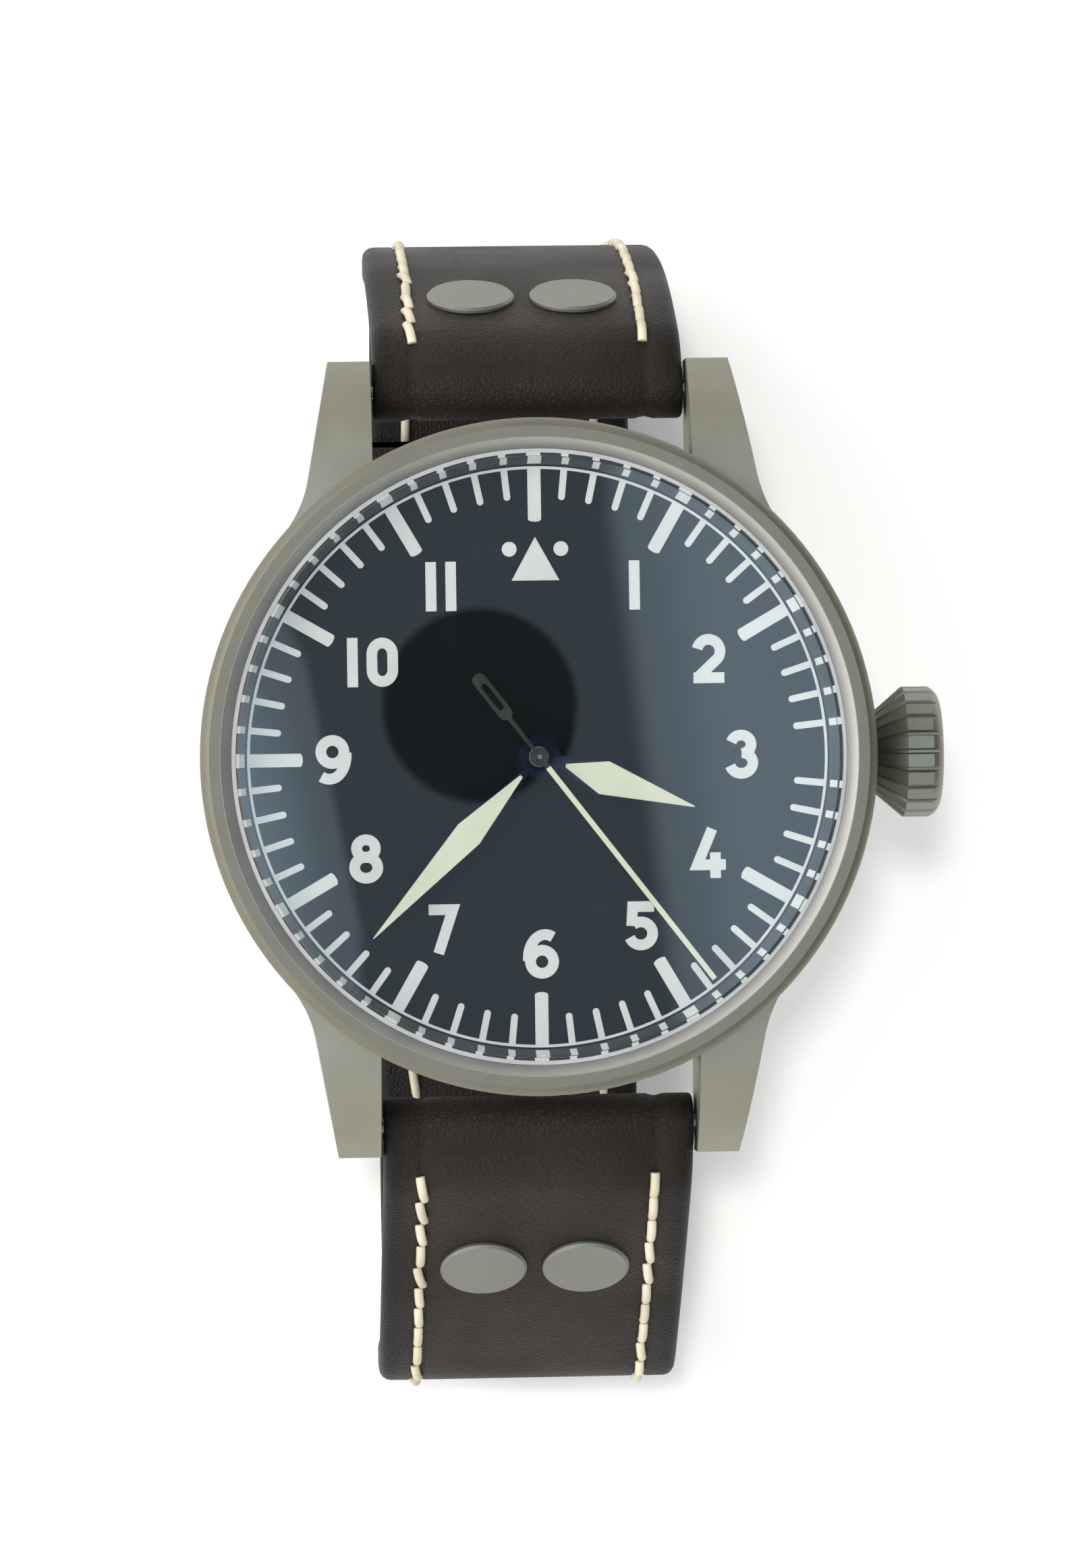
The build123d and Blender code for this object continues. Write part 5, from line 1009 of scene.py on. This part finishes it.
# %% Leather
def leather(name, dark, light, edge, rough, bump=0.07, pebble=0.36):
    material, tree, shader = new_material(name, Specular_IOR_Level=0.20)
    place = add_node(tree, "ShaderNodeTexCoord").outputs["UV"]
    grain = use_group(tree, LEATHER, {"Vector": place, "Pebble": pebble})
    body = two_tones(tree, ramp(tree, grain["Tone"], 0.3, 0.7), dark, light)
    pores = ramp(tree, grain["Pores"], 0.0, 1.0, 0.72, 1.0)
    worn = add_node(tree, "ShaderNodeVectorMath", {0: body, 3: pores}, operation="SCALE")
    rim = add_node(tree, "ShaderNodeAttribute", attribute_name="rim").outputs["Fac"]
    edged = add_node(tree, "ShaderNodeMix", {"Factor": rim}, data_type="RGBA")
    tree.links.new(worn.outputs[0], edged.inputs["A"])
    edged.inputs["B"].default_value = (*edge, 1)
    tree.links.new(edged.outputs["Result"], shader.inputs["Base Color"])
    shine = ramp(tree, grain["Tone"], 0.3, 0.7, rough + 0.06, rough - 0.06)
    tree.links.new(shine, shader.inputs["Roughness"])
    rise = add_node(
        tree, "ShaderNodeBump", {"Height": grain["Height"], "Strength": 0.5, "Distance": bump * MM}
    )
    tree.links.new(rise.outputs["Normal"], shader.inputs["Normal"])
    return material


STRAP_LEATHER = leather(
    "strap_leather", (0.0140, 0.0095, 0.0072), (0.0240, 0.0172, 0.0132), (0.0068, 0.0050, 0.0040), 0.54
)

# %% Leather pieces of the strap
GROOVE = 0.14
strap_12 = made_leather("strap_half_12", front_frames, STRAP_LEATHER, "watch", GROOVE)
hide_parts("strap_12")
for side, label in ((-1, "left"), (1, "right")):
    lobe = []
    for outer, inward, across, half, thick in to_frames(eye_walk, 1):
        shift = across * side * (half + SLOT_HALF) / 2
        lobe.append((outer + shift, inward, across, (half - SLOT_HALF) / 2, thick))
    made_leather("strap_eye_" + label, lobe, STRAP_LEATHER, "watch")

# A slot in the half at 6 takes the tongue. Two oval holes lie on the lugs' side of it, and two
# on the tip's side, where the strap is at its lowest and the cut ends just above it.
TAIL_SLOT_START, TAIL_SLOT_END = 3.2, 9.1
HOLE_PITCH, HOLE_RADII = 6.8, (0.95, 1.35)
tail_cuts = [block((-SLOT_HALF, TAIL_SLOT_START, TAIL_Z - 1), (SLOT_HALF, TAIL_SLOT_END, TAIL_Z + 5))]
for step in (1, 2):
    lug_side = TAIL_SLOT_START - 1.6 - HOLE_PITCH * step
    tip_side = TAIL_SLOT_END + 2.6 + HOLE_PITCH * step / 2
    for y, top in ((lug_side, 5.5), (tip_side, 2.68)):
        tail_cuts.append(slab(arc((0, y), HOLE_RADII, 0, 360, 24)[:-1], TAIL_Z - 1, TAIL_Z + top))
strap_6 = made_leather(
    "strap_half_6", rear_frames, STRAP_LEATHER, "watch", GROOVE, cuts=tail_cuts
)
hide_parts("strap_6")


# %% Keepers
CORNER_STEPS = 8


def keeper_frames(node):
    """A closed path round the keeper's outside, seen from the front, with the wall inwards."""
    low, high = (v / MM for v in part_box(node))
    middle_y = (low.y + high.y) / 2
    half_x, half_z = (high.x - low.x) / 2 - KEEPER_ROUND, (high.z - low.z) / 2 - KEEPER_ROUND
    middle_z = (low.z + high.z) / 2
    frames = []
    for sign_x, sign_z, start in ((1, 1, 0), (-1, 1, 90), (-1, -1, 180), (1, -1, 270)):
        for i in range(CORNER_STEPS + 1):
            angle = radians(start + 90 * i / CORNER_STEPS)
            out = Vector((cos(angle), 0, sin(angle)))
            centre = Vector((sign_x * half_x, middle_y, middle_z + sign_z * half_z))
            outer = centre + out * KEEPER_ROUND
            frames.append((outer, -out, Vector((0, 1, 0)), (high.y - low.y) / 2, KEEPER_WALL))
    return frames


for node, body in (("fixed_keeper", "watch"), ("free_keeper", "keeper_body")):
    frames = keeper_frames(node)
    band = made_leather(node + "_leather", frames, STRAP_LEATHER, body, closed=True)
    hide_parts(node)

# %% [markdown]
# The stitching repeats one thread nearly three hundred times. Each stitch leaves the leather, arches
# over a short way and dives in again. A base mesh of bare points carries the way along and
# the way out as attributes, and a Geometry Nodes tree sets a stitch on each point, turned a
# little by chance.


# %% Stitch tree
def stitches_tree():
    tree, given, result = new_group(
        "stitches", "GeometryNodeTree",
        [("Geometry", "NodeSocketGeometry", None), ("Length", FLOAT, 0.002), ("Rise", FLOAT, 0.0005),
         ("Sink", FLOAT, 0.0002), ("Thread Radius", FLOAT, 0.0003), ("Slant", FLOAT, 0.1),
         ("Unevenness", FLOAT, 0.1), ("Material", "NodeSocketMaterial", None)],
        [("Geometry", "NodeSocketGeometry")],
    )
    half = maths(tree, "MULTIPLY", given["Length"], 0.5)
    back_half = maths(tree, "MULTIPLY", half, -1.0)
    down = maths(tree, "MULTIPLY", given["Sink"], -1.0)
    ends = [add_node(tree, "ShaderNodeCombineXYZ", {"X": x, "Z": z}).outputs[0]
            for x, z in ((back_half, down), (0.0, given["Rise"]), (half, down))]
    arch = add_node(
        tree, "GeometryNodeCurveQuadraticBezier",
        {"Resolution": 7, "Start": ends[0], "Middle": ends[1], "End": ends[2]},
    )
    profile = add_node(
        tree, "GeometryNodeCurvePrimitiveCircle", {"Resolution": 8, "Radius": given["Thread Radius"]}
    )
    thread = add_node(
        tree, "GeometryNodeCurveToMesh",
        {"Curve": arch.outputs[0], "Profile Curve": profile.outputs[0], "Fill Caps": True},
    )
    along = add_node(tree, "GeometryNodeInputNamedAttribute", {"Name": "along"}, data_type="FLOAT_VECTOR")
    out = add_node(tree, "GeometryNodeInputNamedAttribute", {"Name": "out"}, data_type="FLOAT_VECTOR")
    turn_to = add_node(
        tree, "FunctionNodeAxesToRotation",
        {"Primary Axis": out.outputs[0], "Secondary Axis": along.outputs[0]},
        primary_axis="Z", secondary_axis="X",
    )
    least = maths(tree, "SUBTRACT", given["Slant"], given["Unevenness"])
    most = maths(tree, "ADD", given["Slant"], given["Unevenness"])
    chance = add_node(tree, "FunctionNodeRandomValue", {2: least, 3: most, "Seed": 4}, data_type="FLOAT")
    slant = add_node(tree, "ShaderNodeCombineXYZ", {"Z": chance.outputs[1]})
    turned_by = add_node(
        tree, "FunctionNodeRotateRotation",
        {"Rotation": turn_to.outputs[0], "Rotate By": slant.outputs[0]}, rotation_space="LOCAL",
    )
    placed = add_node(
        tree, "GeometryNodeInstanceOnPoints",
        {"Points": given["Geometry"], "Instance": thread.outputs[0], "Rotation": turned_by.outputs[0]},
    )
    solid = add_node(tree, "GeometryNodeRealizeInstances", {0: placed.outputs[0]})
    smooth = add_node(tree, "GeometryNodeSetShadeSmooth", {"Geometry": solid.outputs[0]})
    painted = add_node(
        tree, "GeometryNodeSetMaterial", {"Geometry": smooth.outputs[0], "Material": given["Material"]}
    )
    tree.links.new(painted.outputs[0], result["Geometry"])
    return tree


# %% Rows of stitches
PITCH = 2.45


def seam_points(frames, first, inner):
    """Points at equal steps along both seams, from a distance along the band to its end."""
    points, runs = [], [0.0]
    for a, b in zip(frames, frames[1:]):
        runs.append(runs[-1] + (b[0] - a[0]).length)
    for k in range(int((runs[-1] - first) / PITCH)):
        s = first + PITCH * (k + 0.5)
        i = max(i for i in range(len(runs) - 1) if runs[i] <= s)
        share = (s - runs[i]) / (runs[i + 1] - runs[i])
        a, b = frames[i], frames[i + 1]
        place = a[0].lerp(b[0], share)
        inward = a[1].lerp(b[1], share).normalized()
        half = a[3] + (b[3] - a[3]) * share
        if inner:
            place = place + inward * (a[4] + (b[4] - a[4]) * share)
        along = (b[0] - a[0]).normalized()
        for side in (-1, 1):
            across = a[2] * side * (half - STITCH_INSET)
            points.append((place + across, along, inward if inner else -inward))
    return points


def seam_mesh(name, points):
    mesh = bpy.data.meshes.new(name + "_points")
    mesh.from_pydata([p * MM for p, _, _ in points], [], [])
    for label, which in (("along", 1), ("out", 2)):
        layer = mesh.attributes.new(label, "FLOAT_VECTOR", "POINT")
        layer.data.foreach_set("vector", [v for point in points for v in point[which]])
    return mesh


STITCHES = stitches_tree()
THREAD = paint("cream_thread", (0.52, 0.45, 0.33), (0.72, 0.65, 0.50), 0.75, size=0.25, bump=0.05)
FOLD_STEPS, SEAM_AFTER_FOLD = 26, 3.0
fold_length = (front_frames[0][0] - front_frames[1][0]).length * FOLD_STEPS
for label, frames in (("12", front_frames), ("6", rear_frames)):
    for face in ("outer", "inner"):
        rows = seam_points(frames, fold_length + SEAM_AFTER_FOLD, face == "inner")
        grown(
            STITCHES, f"stitches_{label}_{face}",
            {"Length": 2.10 * MM, "Rise": 0.50 * MM, "Sink": 0.20 * MM, "Thread Radius": 0.30 * MM,
             "Slant": 0.09, "Unevenness": 0.14},
            THREAD, "watch", seam_mesh(label + face, rows),
        )
